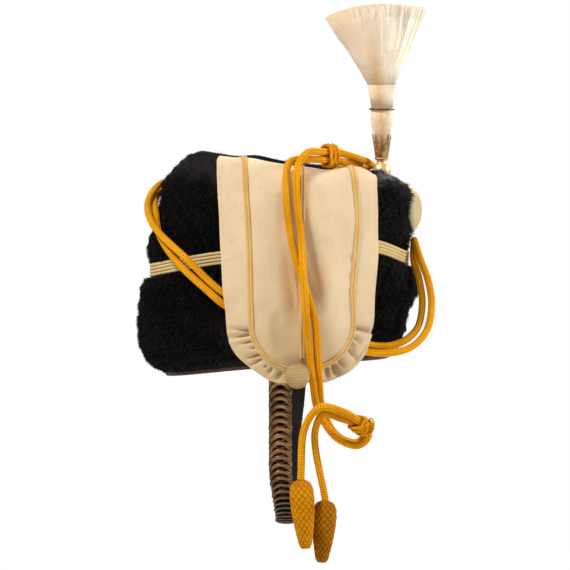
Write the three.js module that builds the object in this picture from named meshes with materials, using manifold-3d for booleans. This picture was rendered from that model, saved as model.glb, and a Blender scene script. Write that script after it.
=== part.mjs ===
// A hussar's fur busby with its cloth bag, braid, boss, plume, cap lines and chin chain, in millimetres.
// +X is the front of the hat, -Y the wearer's right, where the bag falls, and +Z is up.
// The origin is the middle of the head opening, near the level of the lower rim.
import * as THREE from "three";
import { mergeVertices } from "three/addons/utils/BufferGeometryUtils.js";
import Module from "manifold-3d";

const wasm = await Module();
wasm.setup();

// Driving dimensions
const GAP = 0.3; // between pieces that touch
const AROUND = 48; // columns round the hat
const HEAD = { length: 195, width: 160 }; // head opening at the rim
const LEATHER = { wall: 2.5, belowFur: 2.5, belowCrest: 9, taperLength: 16, taperWidth: 14.5 };
const RIM = { middle: 6, frontRise: 8, sideRise: 5 }; // height of the fur's lower edge
const CREST = { middle: 181.5, frontDrop: 5.5, sideDrop: 2, underBag: 4.5 }; // height of the fur's upper edge
const BAND = { width: 12.4, thick: 2.6, ribs: 4, valley: 0.55, middle: 95.5, frontRise: 5.5, sideRise: 12 };
const BAND_SWING = { at: -46, wide: 21, high: 7.5 }; // the band rises beside the bag's front edge
const FUR = { grooveSlope: 0.5, lipDepth: 3 }; // height of the groove's sides, depth of the crest's inner lip
const BAG = { thick: 3, bow: 128, middle: 20 };
const BRAID = { width: 5, thick: 1.2, lift: 0.7 };
const CORD = { diameter: 6.4, sides: 8, stepsPerSpan: 2 };
const BOSS = { x: 117.2, z: 144, depth: 13, height: 41.5, width: 37, rows: 4, dome: 0.86, groove: 0.7 };
const BALL = { x: 94, y: 0, z: 179.6, radius: 8.3 };
const PLUME_LEAN = 5 * THREE.MathUtils.DEG2RAD; // towards the wearer's right
const BUTTON = { x: 17.6, y: -129.6, z: 4.2, radius: 10.6, depth: 7.6 };
const STRAP = { width: 20, thick: 2.2 };
const CHAIN = { width: 20.5, pitch: 6.4, low: 2.6, high: 4.6, crescent: 2.6, round: 0.35 };
const CHAIN_ENDS = { bare: 26, sideLinks: 22 }; // bare strap beyond the chain, links in each side stretch
const ACORN = { radius: 10.3, gap: 1, sides: 16 };
const ACORN_A = { length: 58, foot: [24.8, -130, -142.5] }; // it hangs towards its foot
const ACORN_B = { length: 52.5, foot: [38, -118.5, -160] };
const SLIDER = { wall: 2.4, room: 1.3, sides: 20 };
const TOP_SLIDER = { spanA: 23, spanB: 21, length: 14.5 };
const LOWER_SLIDER = { spanA: 35, spanB: 34, length: 9 };

const material = (color, roughness, metalness = 0) =>
  new THREE.MeshStandardMaterial({ color, roughness, metalness });
const BLACK_FUR = material(0x17120f, 0.9);
const BROWN_LEATHER = material(0x4a2b1a, 0.6);
const BUFF_CLOTH = material(0xe8cfa4, 0.9);
const CREAM_GIMP = material(0xd9bd84, 0.8);
const BRAID_YELLOW = material(0xdcb469, 0.75);
const CORD_YELLOW = material(0xe0a01c, 0.75);
const WHITE_HAIR = material(0xf0e4d2, 0.7);
const GILT_BRASS = material(0xb98a4a, 0.35, 1);
const OLD_BRASS = material(0x6b5233, 0.5, 1);
const BLACK_STRAP = material(0x1c1618, 0.8);

const { lerp, smoothstep, DEG2RAD: DEGREE } = THREE.MathUtils;
const point = (x, y, z) => new THREE.Vector3(x, y, z);
const turn = (i, count) => (i / count) * 2 * Math.PI;

// Skins: closed bodies from grids of points

// Turns a closed indexed geometry's faces out if its signed volume says that they point in.
function facingOut(positions, index) {
  const geometry = new THREE.BufferGeometry();
  const values = positions.flatMap((p) => p.toArray());
  geometry.setAttribute("position", new THREE.Float32BufferAttribute(values, 3));
  const cross = new THREE.Vector3();
  let volume = 0;
  for (let i = 0; i < index.length; i += 3)
    volume += positions[index[i]].dot(cross.crossVectors(positions[index[i + 1]], positions[index[i + 2]]));
  geometry.setIndex(volume < 0 ? index.toReversed() : index);
  geometry.computeVertexNormals();
  return geometry;
}

// A ring: the section, a closed loop, is carried round a closed path.
function ringSkin(around, section, pointAt) {
  const positions = [];
  const index = [];
  for (let i = 0; i < around; i++) for (let j = 0; j < section; j++) positions.push(pointAt(i, j));
  for (let i = 0; i < around; i++)
    for (let j = 0; j < section; j++) {
      const next = ((i + 1) % around) * section;
      const [a, b] = [i * section + j, i * section + ((j + 1) % section)];
      const [c, d] = [next + ((j + 1) % section), next + j];
      index.push(a, b, c, a, c, d);
    }
  return facingOut(positions, index);
}

// A bar: convex sections in a row, with a fan of faces over each end.
function barSkin(sections) {
  const count = sections[0].length;
  const positions = sections.flat();
  const index = [];
  for (let i = 0; i + 1 < sections.length; i++)
    for (let j = 0; j < count; j++) {
      const [a, b] = [i * count + j, i * count + ((j + 1) % count)];
      index.push(a, b, b + count, a, b + count, a + count);
    }
  const last = (sections.length - 1) * count;
  for (let j = 1; j + 1 < count; j++) index.push(0, j + 1, j, last, last + j, last + j + 1);
  return facingOut(positions, index);
}

// A sheet: two grids of points with the same rows and columns, joined along their four sides.
function sheetSkin(front, back) {
  const [rows, columns] = [front.length, front[0].length];
  const positions = [...front.flat(), ...back.flat()];
  const [at, behind] = [(r, c) => r * columns + c, (r, c) => rows * columns + r * columns + c];
  const index = [];
  const quad = (a, b, c, d) => index.push(a, b, c, a, c, d);
  for (let r = 0; r + 1 < rows; r++) {
    for (let c = 0; c + 1 < columns; c++) {
      quad(at(r, c), at(r, c + 1), at(r + 1, c + 1), at(r + 1, c));
      quad(behind(r, c), behind(r + 1, c), behind(r + 1, c + 1), behind(r, c + 1));
    }
    quad(at(r, 0), at(r + 1, 0), behind(r + 1, 0), behind(r, 0));
    quad(at(r, columns - 1), behind(r, columns - 1), behind(r + 1, columns - 1), at(r + 1, columns - 1));
  }
  for (let c = 0; c + 1 < columns; c++) {
    quad(at(0, c), behind(0, c), behind(0, c + 1), at(0, c + 1));
    quad(at(rows - 1, c), at(rows - 1, c + 1), behind(rows - 1, c + 1), behind(rows - 1, c));
  }
  return facingOut(positions, index);
}

// A turned body from a profile of [radius, height] pairs, from axis to axis or closed, standing along +Z.
function turned(profile, segments) {
  const points = profile.map(([radius, height]) => new THREE.Vector2(radius, height));
  return new THREE.LatheGeometry(points, segments).rotateX(Math.PI / 2);
}

function solidOf(geometry) {
  const bare = geometry.clone();
  bare.deleteAttribute("normal");
  bare.deleteAttribute("uv");
  const merged = mergeVertices(bare, 1e-3);
  return new wasm.Manifold(
    new wasm.Mesh({
      numProp: 3,
      vertProperties: merged.attributes.position.array,
      triVerts: new Uint32Array(merged.index.array),
    }),
  );
}

function geometryOf(solid) {
  const mesh = solid.getMesh();
  const geometry = new THREE.BufferGeometry();
  geometry.setAttribute("position", new THREE.BufferAttribute(mesh.vertProperties, 3));
  geometry.setIndex(new THREE.BufferAttribute(mesh.triVerts, 1));
  geometry.computeVertexNormals();
  return geometry;
}

// The fur body and the leather body inside it

const bySide = (angle, { middle, frontRise, sideRise }) =>
  middle + frontRise * Math.cos(angle) + sideRise * Math.sin(angle) ** 2;

// A soft rise at one place round the hat, in degrees from the front, with its width and its height.
const swell = (angle, { at, wide, high }) => {
  const away = Math.atan2(Math.sin(angle - at * DEGREE), Math.cos(angle - at * DEGREE)) / (wide * DEGREE);
  return high * Math.exp(-(away ** 2));
};
const rimZ = (angle) => bySide(angle, RIM);
const bandZ = (angle) => bySide(angle, BAND) + swell(angle, BAND_SWING);
const crestZ = (angle) =>
  CREST.middle -
  CREST.frontDrop * Math.cos(angle) -
  CREST.sideDrop * Math.sin(angle) ** 2 -
  CREST.underBag * Math.max(0, -Math.sin(angle)) ** 3;

// The crest stands up in tufts on the left, behind and before the plume.
const TUFTS = [
  { at: 142, wide: 24, high: 11 },
  { at: 100, wide: 24, high: 12 },
  { at: -146, wide: 17, high: 7 },
  { at: -18, wide: 11, high: 5 },
];
const tuftRise = (angle) => TUFTS.reduce((sum, tuft) => sum + swell(angle, tuft), 0);

// Reach of the fur from the hat's axis to the rear, front and sides. Share runs up each stretch.
const FUR_BELOW_BAND = [
  { share: 0.0, rear: 103, front: 103, side: 86.5 },
  { share: 0.05, rear: 111, front: 107, side: 96 },
  { share: 0.14, rear: 119, front: 112, side: 103 },
  { share: 0.28, rear: 124, front: 117, side: 107 },
  { share: 0.48, rear: 125.5, front: 119, side: 108.5 },
  { share: 0.72, rear: 125.5, front: 128.5, side: 108.5 },
  { share: 0.9, rear: 123.5, front: 126, side: 106.5 },
  { share: 1.0, rear: 118, front: 121, side: 102.5 },
];
const FUR_UNDER_BAND = { rear: 112, front: 116.5, side: 98 };
const FUR_ABOVE_BAND = [
  { share: 0.0, rear: 115, front: 118.5, side: 101.5 },
  { share: 0.1, rear: 117, front: 120, side: 104 },
  { share: 0.25, rear: 115.5, front: 119, side: 104 },
  { share: 0.45, rear: 109, front: 118.5, side: 102 },
  { share: 0.65, rear: 105, front: 118.5, side: 99.5 },
  { share: 0.82, rear: 99.5, front: 116.5, side: 95.5 },
  { share: 0.93, rear: 93.5, front: 110, side: 90 },
  { share: 1.0, rear: 86.5, front: 97, side: 81 },
];

// A point on an oval whose rear and front reach differ.
const onOval = (angle, { rear, front, side }, z) =>
  point(Math.cos(angle) * (Math.cos(angle) > 0 ? front : rear), Math.sin(angle) * side, z);

// Reach of the leather body's outer face, which narrows evenly from rim to crest, plus an offset.
function leatherReach(angle, z, offset = 0) {
  const up = (z - rimZ(angle)) / (crestZ(angle) - rimZ(angle));
  const length = HEAD.length / 2 + LEATHER.wall - LEATHER.taperLength * up + offset;
  const side = HEAD.width / 2 + LEATHER.wall - LEATHER.taperWidth * up + offset;
  return { rear: length, front: length, side };
}

// The fur's section at one angle: up the outside, over the crest and down the inside.
function furSection(angle) {
  const band = bandZ(angle);
  const rise = tuftRise(angle);
  const stretch = (rows, from, to, risen = 0) =>
    rows.map((row) => onOval(angle, row, lerp(from, to, row.share) + risen * smoothstep(row.share, 0.9, 1)));
  const inside = (z) => onOval(angle, leatherReach(angle, z, GAP), z);
  return [
    ...stretch(FUR_BELOW_BAND, rimZ(angle), band - BAND.width / 2 - FUR.grooveSlope),
    onOval(angle, FUR_UNDER_BAND, band - BAND.width / 2),
    onOval(angle, FUR_UNDER_BAND, band + BAND.width / 2),
    ...stretch(FUR_ABOVE_BAND, band + BAND.width / 2 + FUR.grooveSlope, crestZ(angle), rise),
    inside(crestZ(angle) + rise - FUR.lipDepth),
    inside(rimZ(angle)),
  ];
}

function furBody() {
  const sections = Array.from({ length: AROUND }, (_, i) => furSection(turn(i, AROUND)));
  const whole = solidOf(ringSkin(AROUND, sections[0].length, (i, j) => sections[i][j]));
  return geometryOf(whole.subtract(solidOf(plumePlaced(plumeBall(GAP)))).subtract(solidOf(boss(GAP))));
}

function leatherBody() {
  return ringSkin(AROUND, 4, (i, j) => {
    const angle = turn(i, AROUND);
    const z = j % 3 === 0 ? rimZ(angle) - LEATHER.belowFur : crestZ(angle) - LEATHER.belowCrest;
    return onOval(angle, leatherReach(angle, z, j < 2 ? 0 : -LEATHER.wall), z);
  });
}

// The gimp band lies in the groove that it presses into the fur: ribs of cord side by side.
function band() {
  const valley = BAND.thick * BAND.valley;
  const section = [[0, -0.5], [valley, -0.5]];
  for (let k = 0; k < BAND.ribs; k++)
    section.push([BAND.thick, (k + 0.5) / BAND.ribs - 0.5], [valley, (k + 1) / BAND.ribs - 0.5]);
  section.push([0, 0.5]);
  return ringSkin(AROUND, section.length, (i, j) => {
    const angle = turn(i, AROUND);
    const [out, up] = section[j];
    const reach = GAP + out;
    const { rear, front, side } = FUR_UNDER_BAND;
    const oval = { rear: rear + reach, front: front + reach, side: side + reach };
    return onOval(angle, oval, bandZ(angle) + up * (BAND.width - 2 * GAP));
  });
}

// The bag: cloth that closes the crown, climbs over the right-hand fur and hangs down that side

// The outer face's middle line, from the crown's far edge to the bottom, with the half width about it.
const BAG_ROWS = [
  { y: 62, z: 0, half: 33, centre: 0 },
  { y: 57, z: 0, half: 45, centre: 0 },
  { y: 46, z: 0, half: 61, centre: 0 },
  { y: 28, z: 0, half: 75, centre: 0 },
  { y: 8, z: 0, half: 82, centre: 0 },
  { y: -10, z: 0, half: 81, centre: 0 },
  { y: -24, z: 0, half: 77, centre: 0 },
  { y: -33, z: 0, half: 72, centre: 0 },
  { y: -40, z: 0, half: 66, centre: 0 },
  { y: -47, z: 0, half: 60.5, centre: 2.5 },
  { y: -55, z: 0, half: 59, centre: 8 },
  { y: -62, z: 0, half: 60.5, centre: 13 },
  { y: -69, z: 0, half: 63, centre: 16 },
  { y: -77, z: 0.5, half: 65, centre: 17 },
  { y: -86, z: 0, half: 67, centre: 18 },
  { y: -93, z: -2.5, half: 68, centre: 18 },
  { y: -99, z: -8, half: 68, centre: 18 },
  { y: -103, z: -16, half: 68, centre: 18 },
  { y: -107, z: -31, half: 68, centre: 18.5 },
  { y: -111, z: -50, half: 67.5, centre: 19.5 },
  { y: -115, z: -72, half: 67, centre: 20 },
  { y: -119, z: -94, half: 65.5, centre: 20 },
  { y: -122, z: -114, half: 64, centre: 20 },
  { y: -122.5, z: -130, half: 62.8, centre: 20.5 },
  { y: -122.5, z: -145, half: 61.6, centre: 20.5 },
  { y: -121.5, z: -156, half: 59, centre: 20.5 },
  { y: -120.5, z: -165, half: 54, centre: 21 },
  { y: -119, z: -173, half: 46.5, centre: 22 },
  { y: -118, z: -180, half: 37.5, centre: 22.5 },
  { y: -117, z: -185, half: 29, centre: 22 },
  { y: -117, z: -188.3, half: 19, centre: 21 },
];
// Top of the fold over the right-hand fur, from which a row's z counts. It falls towards the front,
// is rounded at its front corner and is pressed down where the cap lines cross it.
const FOLD = { z: 185.5, slope: -0.062, corner: 8, press: 4.2, pressX: 43, pressWidth: 20 };
const CROWN = { aboveLeather: 3.9, sag: 5, halfLength: 84, halfWidth: 68 };
const BAG_COLUMNS = 20;

// A column of a table at a fractional row, on a smooth curve through the rows.
function rowValue(rows, column, at) {
  const i = Math.min(Math.floor(at), rows.length - 2);
  const t = at - i;
  const [a, b, c, d] = [i - 1, i, i + 1, i + 2].map(
    (k) => rows[THREE.MathUtils.clamp(k, 0, rows.length - 1)][column],
  );
  return b + 0.5 * t * (c - a + t * (2 * a - 5 * b + 4 * c - d + t * (3 * (b - c) + d - a)));
}

// The row of the hanging part at a height above the origin.
function bagRowAt(z) {
  const hanging = BAG_ROWS.findLastIndex((row) => FOLD.z + row.z >= z);
  const [above, below] = [BAG_ROWS[hanging], BAG_ROWS[hanging + 1]];
  return hanging + (FOLD.z + above.z - z) / (above.z - below.z);
}

// The crown's cloth lies on the leather's upper edge and sags a little in the middle.
function crownZ(x, y) {
  const out = Math.hypot(x / CROWN.halfLength, y / CROWN.halfWidth);
  const angle = Math.atan2(y / CROWN.halfWidth, x / CROWN.halfLength);
  const edge = lerp(CREST.middle, crestZ(angle), Math.min(out, 1));
  return edge - LEATHER.belowCrest + CROWN.aboveLeather - CROWN.sag * (1 - Math.min(out, 1) ** 2);
}

// Large soft dents of the hanging cloth: the trough that the cap lines press, and a swell on each side of it.
const BAG_DENTS = [
  { x: 22, z: 112, wide: 13, tall: 48, deep: 2.6 },
  { x: 66, z: 96, wide: 14, tall: 26, deep: 2 },
  { x: -8, z: 120, wide: 16, tall: 40, deep: -1.5 },
  { x: 48, z: 140, wide: 14, tall: 36, deep: -1.5 },
];
const dentDepth = (x, z) =>
  BAG_DENTS.reduce((sum, dent) => {
    const [away, above] = [(x - dent.x) / dent.wide, (z - dent.z) / dent.tall];
    return sum + dent.deep * Math.exp(-(away ** 2) - above ** 2);
  }, 0);

// The bag's outer face: u from -1 at the rear edge to 1 at the front edge, row down the table.
function bagFace(u, row) {
  const columns = ["y", "half", "centre", "z"];
  const [yMiddle, half, centre, drop] = columns.map((name) => rowValue(BAG_ROWS, name, row));
  const x = centre + u * half;
  const bow = Math.sqrt((1 - (x / BAG.bow) ** 2) / (1 - (BAG.middle / BAG.bow) ** 2));
  const hanging = smoothstep(-drop, 0, 60);
  const corner = FOLD.corner * smoothstep(u, 0.7, 1) * smoothstep(-yMiddle, 60, 84);
  const press = FOLD.press * Math.exp(-(((x - FOLD.pressX) / FOLD.pressWidth) ** 2));
  const foldZ = FOLD.z + drop + (FOLD.slope * (x - BAG.middle) - corner - press) * (1 - hanging);
  const dent = dentDepth(x, foldZ) * hanging;
  const y = yMiddle * bow + dent;
  const out = Math.hypot(x / CROWN.halfLength, y / CROWN.halfWidth);
  const lift = smoothstep(out, 0.76, 1) * smoothstep(-yMiddle, 24, 46);
  return point(x, y, lerp(crownZ(x, y), foldZ, lift));
}

function bagNormal(u, row) {
  const step = 0.02;
  const across = bagFace(u + step, row).sub(bagFace(u - step, row));
  const down = bagFace(u, Math.min(row + step, BAG_ROWS.length - 1)).sub(bagFace(u, Math.max(row - step, 0)));
  return across.cross(down).negate().normalize();
}

const bagGrid = (distance) =>
  BAG_ROWS.map((_, row) =>
    Array.from({ length: BAG_COLUMNS + 1 }, (_, column) => {
      const u = (2 * column) / BAG_COLUMNS - 1;
      return bagFace(u, row).addScaledVector(bagNormal(u, row), distance);
    }),
  );
const BAG_OUTSIDE = bagGrid(0);

const bag = () => sheetSkin(BAG_OUTSIDE, bagGrid(-BAG.thick));

// A point on the flat facets of the bag's outside, a distance out from them.
function onBag(u, row, distance) {
  const column = ((u + 1) / 2) * BAG_COLUMNS;
  const r = Math.min(Math.floor(row), BAG_ROWS.length - 2);
  const c = Math.min(Math.floor(column), BAG_COLUMNS - 1);
  const [upper, lower] = [BAG_OUTSIDE[r], BAG_OUTSIDE[r + 1]].map((points) =>
    points[c].clone().lerp(points[c + 1], column - c),
  );
  return upper.lerp(lower, row - r).addScaledVector(bagNormal(u, row), distance);
}

// A flat braid of two ribs laid along a route of [u, row] pairs on the bag.
function braidOnBag(route) {
  const places = route.map(([u, row]) => ({ at: onBag(u, row, BRAID.lift), normal: bagNormal(u, row) }));
  const ribs = [[-0.5, 0], [-0.5, 0.6], [-0.25, 1], [0, 0.7], [0.25, 1], [0.5, 0.6], [0.5, 0]];
  return barSkin(
    places.map(({ at, normal }, i) => {
      const along = places[Math.min(i + 1, places.length - 1)].at.clone().sub(places[Math.max(i - 1, 0)].at);
      const side = along.cross(normal).normalize();
      return ribs.map(([across, out]) =>
        at
          .clone()
          .addScaledVector(side, across * BRAID.width)
          .addScaledVector(normal, out * BRAID.thick),
      );
    }),
  );
}

const EDGE_BRAID = { rear: 42, front: 45, spread: 3.6, bendTop: 48, bendHeight: 40, farRow: 2.6 };
const BEND_STEPS = 26;
const ROW_STEP = 0.34; // of the bag's rows, between two sections of a braid
const CENTRE_BRAID = { x: 22, farRow: 1.2, endZ: 18 };
const uAt = (x, row) => (x - rowValue(BAG_ROWS, "centre", row)) / rowValue(BAG_ROWS, "half", row);

// Down one side, round the bottom in a half oval and up the other side. The sides spread a little upwards.
function edgeBraid() {
  const { rear, front, spread, bendTop, bendHeight, farRow } = EDGE_BRAID;
  const lastRow = bagRowAt(bendTop);
  const foldRow = bagRowAt(FOLD.z);
  const side = (sign) => {
    const count = Math.ceil((lastRow - farRow) / ROW_STEP);
    return Array.from({ length: count }, (_, i) => {
      const row = farRow + (i * (lastRow - farRow)) / count;
      const reach = (sign < 0 ? rear : front) + spread * smoothstep(lastRow - row, 0, lastRow - foldRow);
      return [uAt(rowValue(BAG_ROWS, "centre", row) + sign * reach, row), row];
    });
  };
  const bend = Array.from({ length: BEND_STEPS + 1 }, (_, i) => {
    const angle = (i / BEND_STEPS) * Math.PI;
    const row = bagRowAt(bendTop - bendHeight * Math.sin(angle));
    const across = (front - rear) / 2 - ((front + rear) / 2) * Math.cos(angle);
    return [uAt(rowValue(BAG_ROWS, "centre", lastRow) + across, row), row];
  });
  return braidOnBag([...side(-1), ...bend, ...side(1).toReversed()]);
}

function centreBraid() {
  const { x, farRow, endZ } = CENTRE_BRAID;
  const count = Math.ceil((bagRowAt(endZ) - farRow) / ROW_STEP);
  return braidOnBag(
    Array.from({ length: count + 1 }, (_, i) => {
      const row = lerp(farRow, bagRowAt(endZ), i / count);
      return [uAt(x, row), row];
    }),
  );
}

// The covered ball button at the bag's foot.
function button() {
  return new THREE.SphereGeometry(BUTTON.radius, 18, 12)
    .scale(1, BUTTON.depth / BUTTON.radius, 1)
    .translate(BUTTON.x, BUTTON.y, BUTTON.z);
}

// The oval boss on the front: rows of gimp cord wound on a domed oval.
function boss(grow = 0) {
  const profile = [[0, BOSS.depth + grow]];
  for (let k = 0; k < BOSS.rows; k++) {
    const [near, far] = [(k + 0.5) / BOSS.rows, (k + 1) / BOSS.rows];
    const dome = (share) => BOSS.depth * Math.sqrt(1 - BOSS.dome * share ** 2);
    profile.push([near, dome(near) + grow], [far, dome(far) - BOSS.groove + grow]);
  }
  profile.push([1, -grow], [0, -grow]);
  const geometry = turned(profile.reverse(), 28);
  geometry.scale(BOSS.height / 2 + grow, BOSS.width / 2 + grow, 1);
  return geometry.rotateY(Math.PI / 2).translate(BOSS.x, 0, BOSS.z);
}

// The plume: a gilt ball with its hidden stem, a leaf socket, a wire ring and a brush of white hair

const PLUME = {
  stem: { radius: 2, bottom: -46 },
  neck: { radius: 5.4, top: 10.4 },
  socket: { bottomRadius: 5, topRadius: 8, bottom: 10.7, tips: 32, notches: 24, wall: 0.8, leaves: 8 },
  ring: { radius: 10.6, wire: 0.75, height: 55 },
  cuffTop: 76,
  fanTop: 148,
};

// Ball, neck and stem are one brass piece.
function plumeBall(grow = 0) {
  const { stem, neck } = PLUME;
  const profile = [[0, stem.bottom - grow], [stem.radius + grow, stem.bottom - grow]];
  const first = Math.asin(stem.radius / BALL.radius);
  const last = Math.PI - Math.asin((neck.radius - 1) / BALL.radius);
  for (let k = 0; k <= 10; k++) {
    const angle = lerp(first, last, k / 10);
    profile.push([(BALL.radius + grow) * Math.sin(angle), -(BALL.radius + grow) * Math.cos(angle)]);
  }
  profile.push([neck.radius - 1, 8.4], [neck.radius, 9.4], [neck.radius - 0.6, neck.top], [0, neck.top]);
  return turned(profile, 20);
}

// A thin cup of pointed leaves: its upper edge rises and falls round the cup.
function leafSocket() {
  const { bottomRadius, topRadius, bottom, tips, notches, wall, leaves } = PLUME.socket;
  const around = leaves * 4;
  return ringSkin(around, 6, (i, j) => {
    const angle = turn(i, around);
    const leaf = Math.abs(((i % 4) - 2) / 2); // 1 at a leaf's tip and 0 at the notch
    const top = lerp(notches, tips, leaf);
    const heights = [bottom, lerp(bottom, top, 0.6), top];
    const z = heights[j < 3 ? j : 5 - j];
    const radius = lerp(bottomRadius, topRadius, (z - bottom) / (tips - bottom)) + (j < 3 ? wall : 0);
    return point(radius * Math.cos(angle), radius * Math.sin(angle), z);
  });
}

function plumeRing() {
  const { radius, wire, height } = PLUME.ring;
  return new THREE.TorusGeometry(radius, wire, 6, 28).translate(0, 0, height);
}

// The short outer hair, from inside the socket up through the wire ring to the flared cuff.
function hairCuff() {
  const outside = [[4.6, 12], [7.3, 30], [9.3, 42], [9.5, 52], [9.5, 58], [10.4, 64], [13.1, PLUME.cuffTop]];
  const inside = [[10.6, PLUME.cuffTop - 0.5], [8.2, 60], [7.6, 50], [6.4, 36], [3.4, 14]];
  return turned([...outside, ...inside, outside[0]], 24);
}

// The long hair inside, which fans out above the cuff. Its cut top is domed and lower at the rear.
function plumeFan() {
  const rows = [
    { z: 14.6, radius: 3, shift: 0 },
    { z: 36, radius: 6, shift: 0 },
    { z: 50, radius: 7.2, shift: 0 },
    { z: 60, radius: 7.7, shift: 0 },
    { z: 75, radius: 10, shift: 0 },
    { z: 82, radius: 13.4, shift: -0.6 },
    { z: 98, radius: 22.8, shift: -2.7 },
    { z: 119, radius: 34, shift: -5.4 },
    { z: 133, radius: 39.5, shift: -6.2 },
    { z: 145.5, radius: 42.3, shift: -6.3 },
    { z: PLUME.fanTop - 0.7, radius: 26, shift: -4 },
    { z: PLUME.fanTop, radius: 12, shift: -2 },
  ];
  const around = 28;
  const sections = rows.map(({ z, radius, shift }) =>
    Array.from({ length: around }, (_, i) => {
      const [x, y] = [radius * Math.cos(turn(i, around)) + shift, radius * Math.sin(turn(i, around))];
      const fall = (x < 0 ? 7.5 : 3) * (x / 42) ** 2;
      return point(x, y, z - fall * smoothstep(z, 97, 142));
    }),
  );
  return barSkin(sections);
}

// Places a plume piece, made about the ball's centre, on the hat.
const plumePlaced = (geometry) => geometry.rotateX(PLUME_LEAN).translate(BALL.x, BALL.y, BALL.z);

// The chin strap hangs as a loop from inside both walls, with its chain on the outer face

// Half of the loop, from the bottom up to the end inside the wall: reach from the middle, and height.
const STRAP_HALF = [
  [11, -130.6], [33, -123.4], [52, -107.6], [65, -86], [73.2, -61.5], [77, -36], [77.9, -14], [77.1, 3],
  [76.1, 14], [74.9, 26],
];
const STRAP_LEAN = { bottomX: 8.5, bottomZ: -131.5, nearX: 3.2, nearReach: 52, farX: 17, farReach: 107 };
const WALL_BEND = 1.5; // how far the left wall pushes the strap inwards
function strapHalf(side) {
  const { bottomX, bottomZ, nearX, nearReach, farX, farReach } = STRAP_LEAN;
  return STRAP_HALF.map(([y, z]) => {
    const height = z - bottomZ;
    if (side < 0) return point(lerp(bottomX, nearX, smoothstep(height, 0, nearReach)), -y, z);
    const up = Math.min(1, (height / farReach) ** 2);
    return point(lerp(bottomX, farX, up), y - WALL_BEND * up, z);
  });
}
const strapPoints = [...strapHalf(-1).toReversed(), ...strapHalf(1)];
const strapCurve = new THREE.CatmullRomCurve3(strapPoints, false, "centripetal");
strapCurve.arcLengthDivisions = 400;

// The place at a share of the strap's length, with its direction and the way out of its outer face.
function strapPlace(share) {
  const at = strapCurve.getPointAt(share);
  const along = strapCurve.getTangentAt(share);
  const out = point(0, along.z, -along.y).normalize();
  return { at, out, side: along.clone().cross(out).normalize() };
}

function strap() {
  const steps = 56;
  return barSkin(
    Array.from({ length: steps + 1 }, (_, i) => {
      const { at, out, side } = strapPlace(i / steps);
      return [[-1, -1], [1, -1], [1, 1], [-1, 1]].map(([across, through]) =>
        at
          .clone()
          .addScaledVector(side, (across * STRAP.width) / 2)
          .addScaledVector(out, (through * STRAP.thick) / 2),
      );
    }),
  );
}

// A stretch of the chain: each link is a crescent ridge that overlaps the next.
const STRAP_LENGTH = strapCurve.getLength();
const LINKS = Math.floor((STRAP_LENGTH - 2 * CHAIN_ENDS.bare) / CHAIN.pitch);
const CHAIN_START = (STRAP_LENGTH - LINKS * CHAIN.pitch) / 2;

function chain(firstLink, lastLink) {
  const across = [-1, -0.55, 0, 0.55, 1];
  const [lowEnd, highEnd] = [[0.04, CHAIN.low], [0.72, CHAIN.high]]; // share of the pitch, height
  const base = STRAP.thick / 2 + GAP;
  const sections = [];
  for (let link = firstLink; link < lastLink; link++) {
    const crescent = link === firstLink || link === lastLink - 1 ? 0 : CHAIN.crescent;
    for (const [into, height] of [lowEnd, highEnd]) {
      const length = CHAIN_START + (link + into) * CHAIN.pitch;
      const { at, out, side } = strapPlace(length / STRAP_LENGTH);
      const outer = across.map((a) => {
        const bent = strapPlace((length - crescent * (1 - a * a)) / STRAP_LENGTH);
        return bent.at
          .addScaledVector(bent.side, (a * CHAIN.width) / 2)
          .addScaledVector(bent.out, base + height * (1 - CHAIN.round * a * a));
      });
      const inner = [1, -1].map((a) =>
        at.clone().addScaledVector(side, (a * CHAIN.width) / 2).addScaledVector(out, base),
      );
      sections.push([...outer, ...inner]);
    }
  }
  return barSkin(sections);
}

// The cap lines: two round cords that run side by side from under the boss to their acorns

// Down in front, under the bag, up round the rear, along the left side, over the crown behind the
// plume's ball, down over the bag, and up into a loop below the hat, through the lower slider.
const CORD_A = [
  [122.3, -13, 118], [127, -28, 101], [133.5, -38, 82], [136.5, -40, 62], [132.5, -48, 40], [119, -62, 25.5],
  [98, -79, 20.5], [70, -94.3, 23.5], [40, -107, 33], [-8, -113.3, 47.5], [-42, -109.5, 62],
  [-62, -102, 78], [-86, -82, 99.5], [-102.5, -55, 122.3], [-106.9, -32.5, 139.8], [-109.2, -13.5, 150.6],
  [-104, 32.2, 161], [-72, 78, 165.5],
  [-12, 100, 171.5], [55, 85, 177.5], [85, 46, 184], [82.5, 11, 187], [66.5, -32.5, 191.2], [51, -66, 194.4],
  [39.5, -83.5, 194], [26.5, -98, 193], [18, -107.5, 180.5], [17, -112.5, 155], [21, -120.5, 119],
  [23, -131.8, 85], [26, -128.5, 45], [30.4, -124.5, 2], [35.5, -119, -26], [52, -116, -50],
  [69.5, -119.5, -55.5],
  [78, -128.5, -45], [68, -136.5, -32.5], [55, -138, -25], [37, -137, -21.5], [24, -132.5, -39],
  [20.5, -130, -83.5],
];
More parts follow.
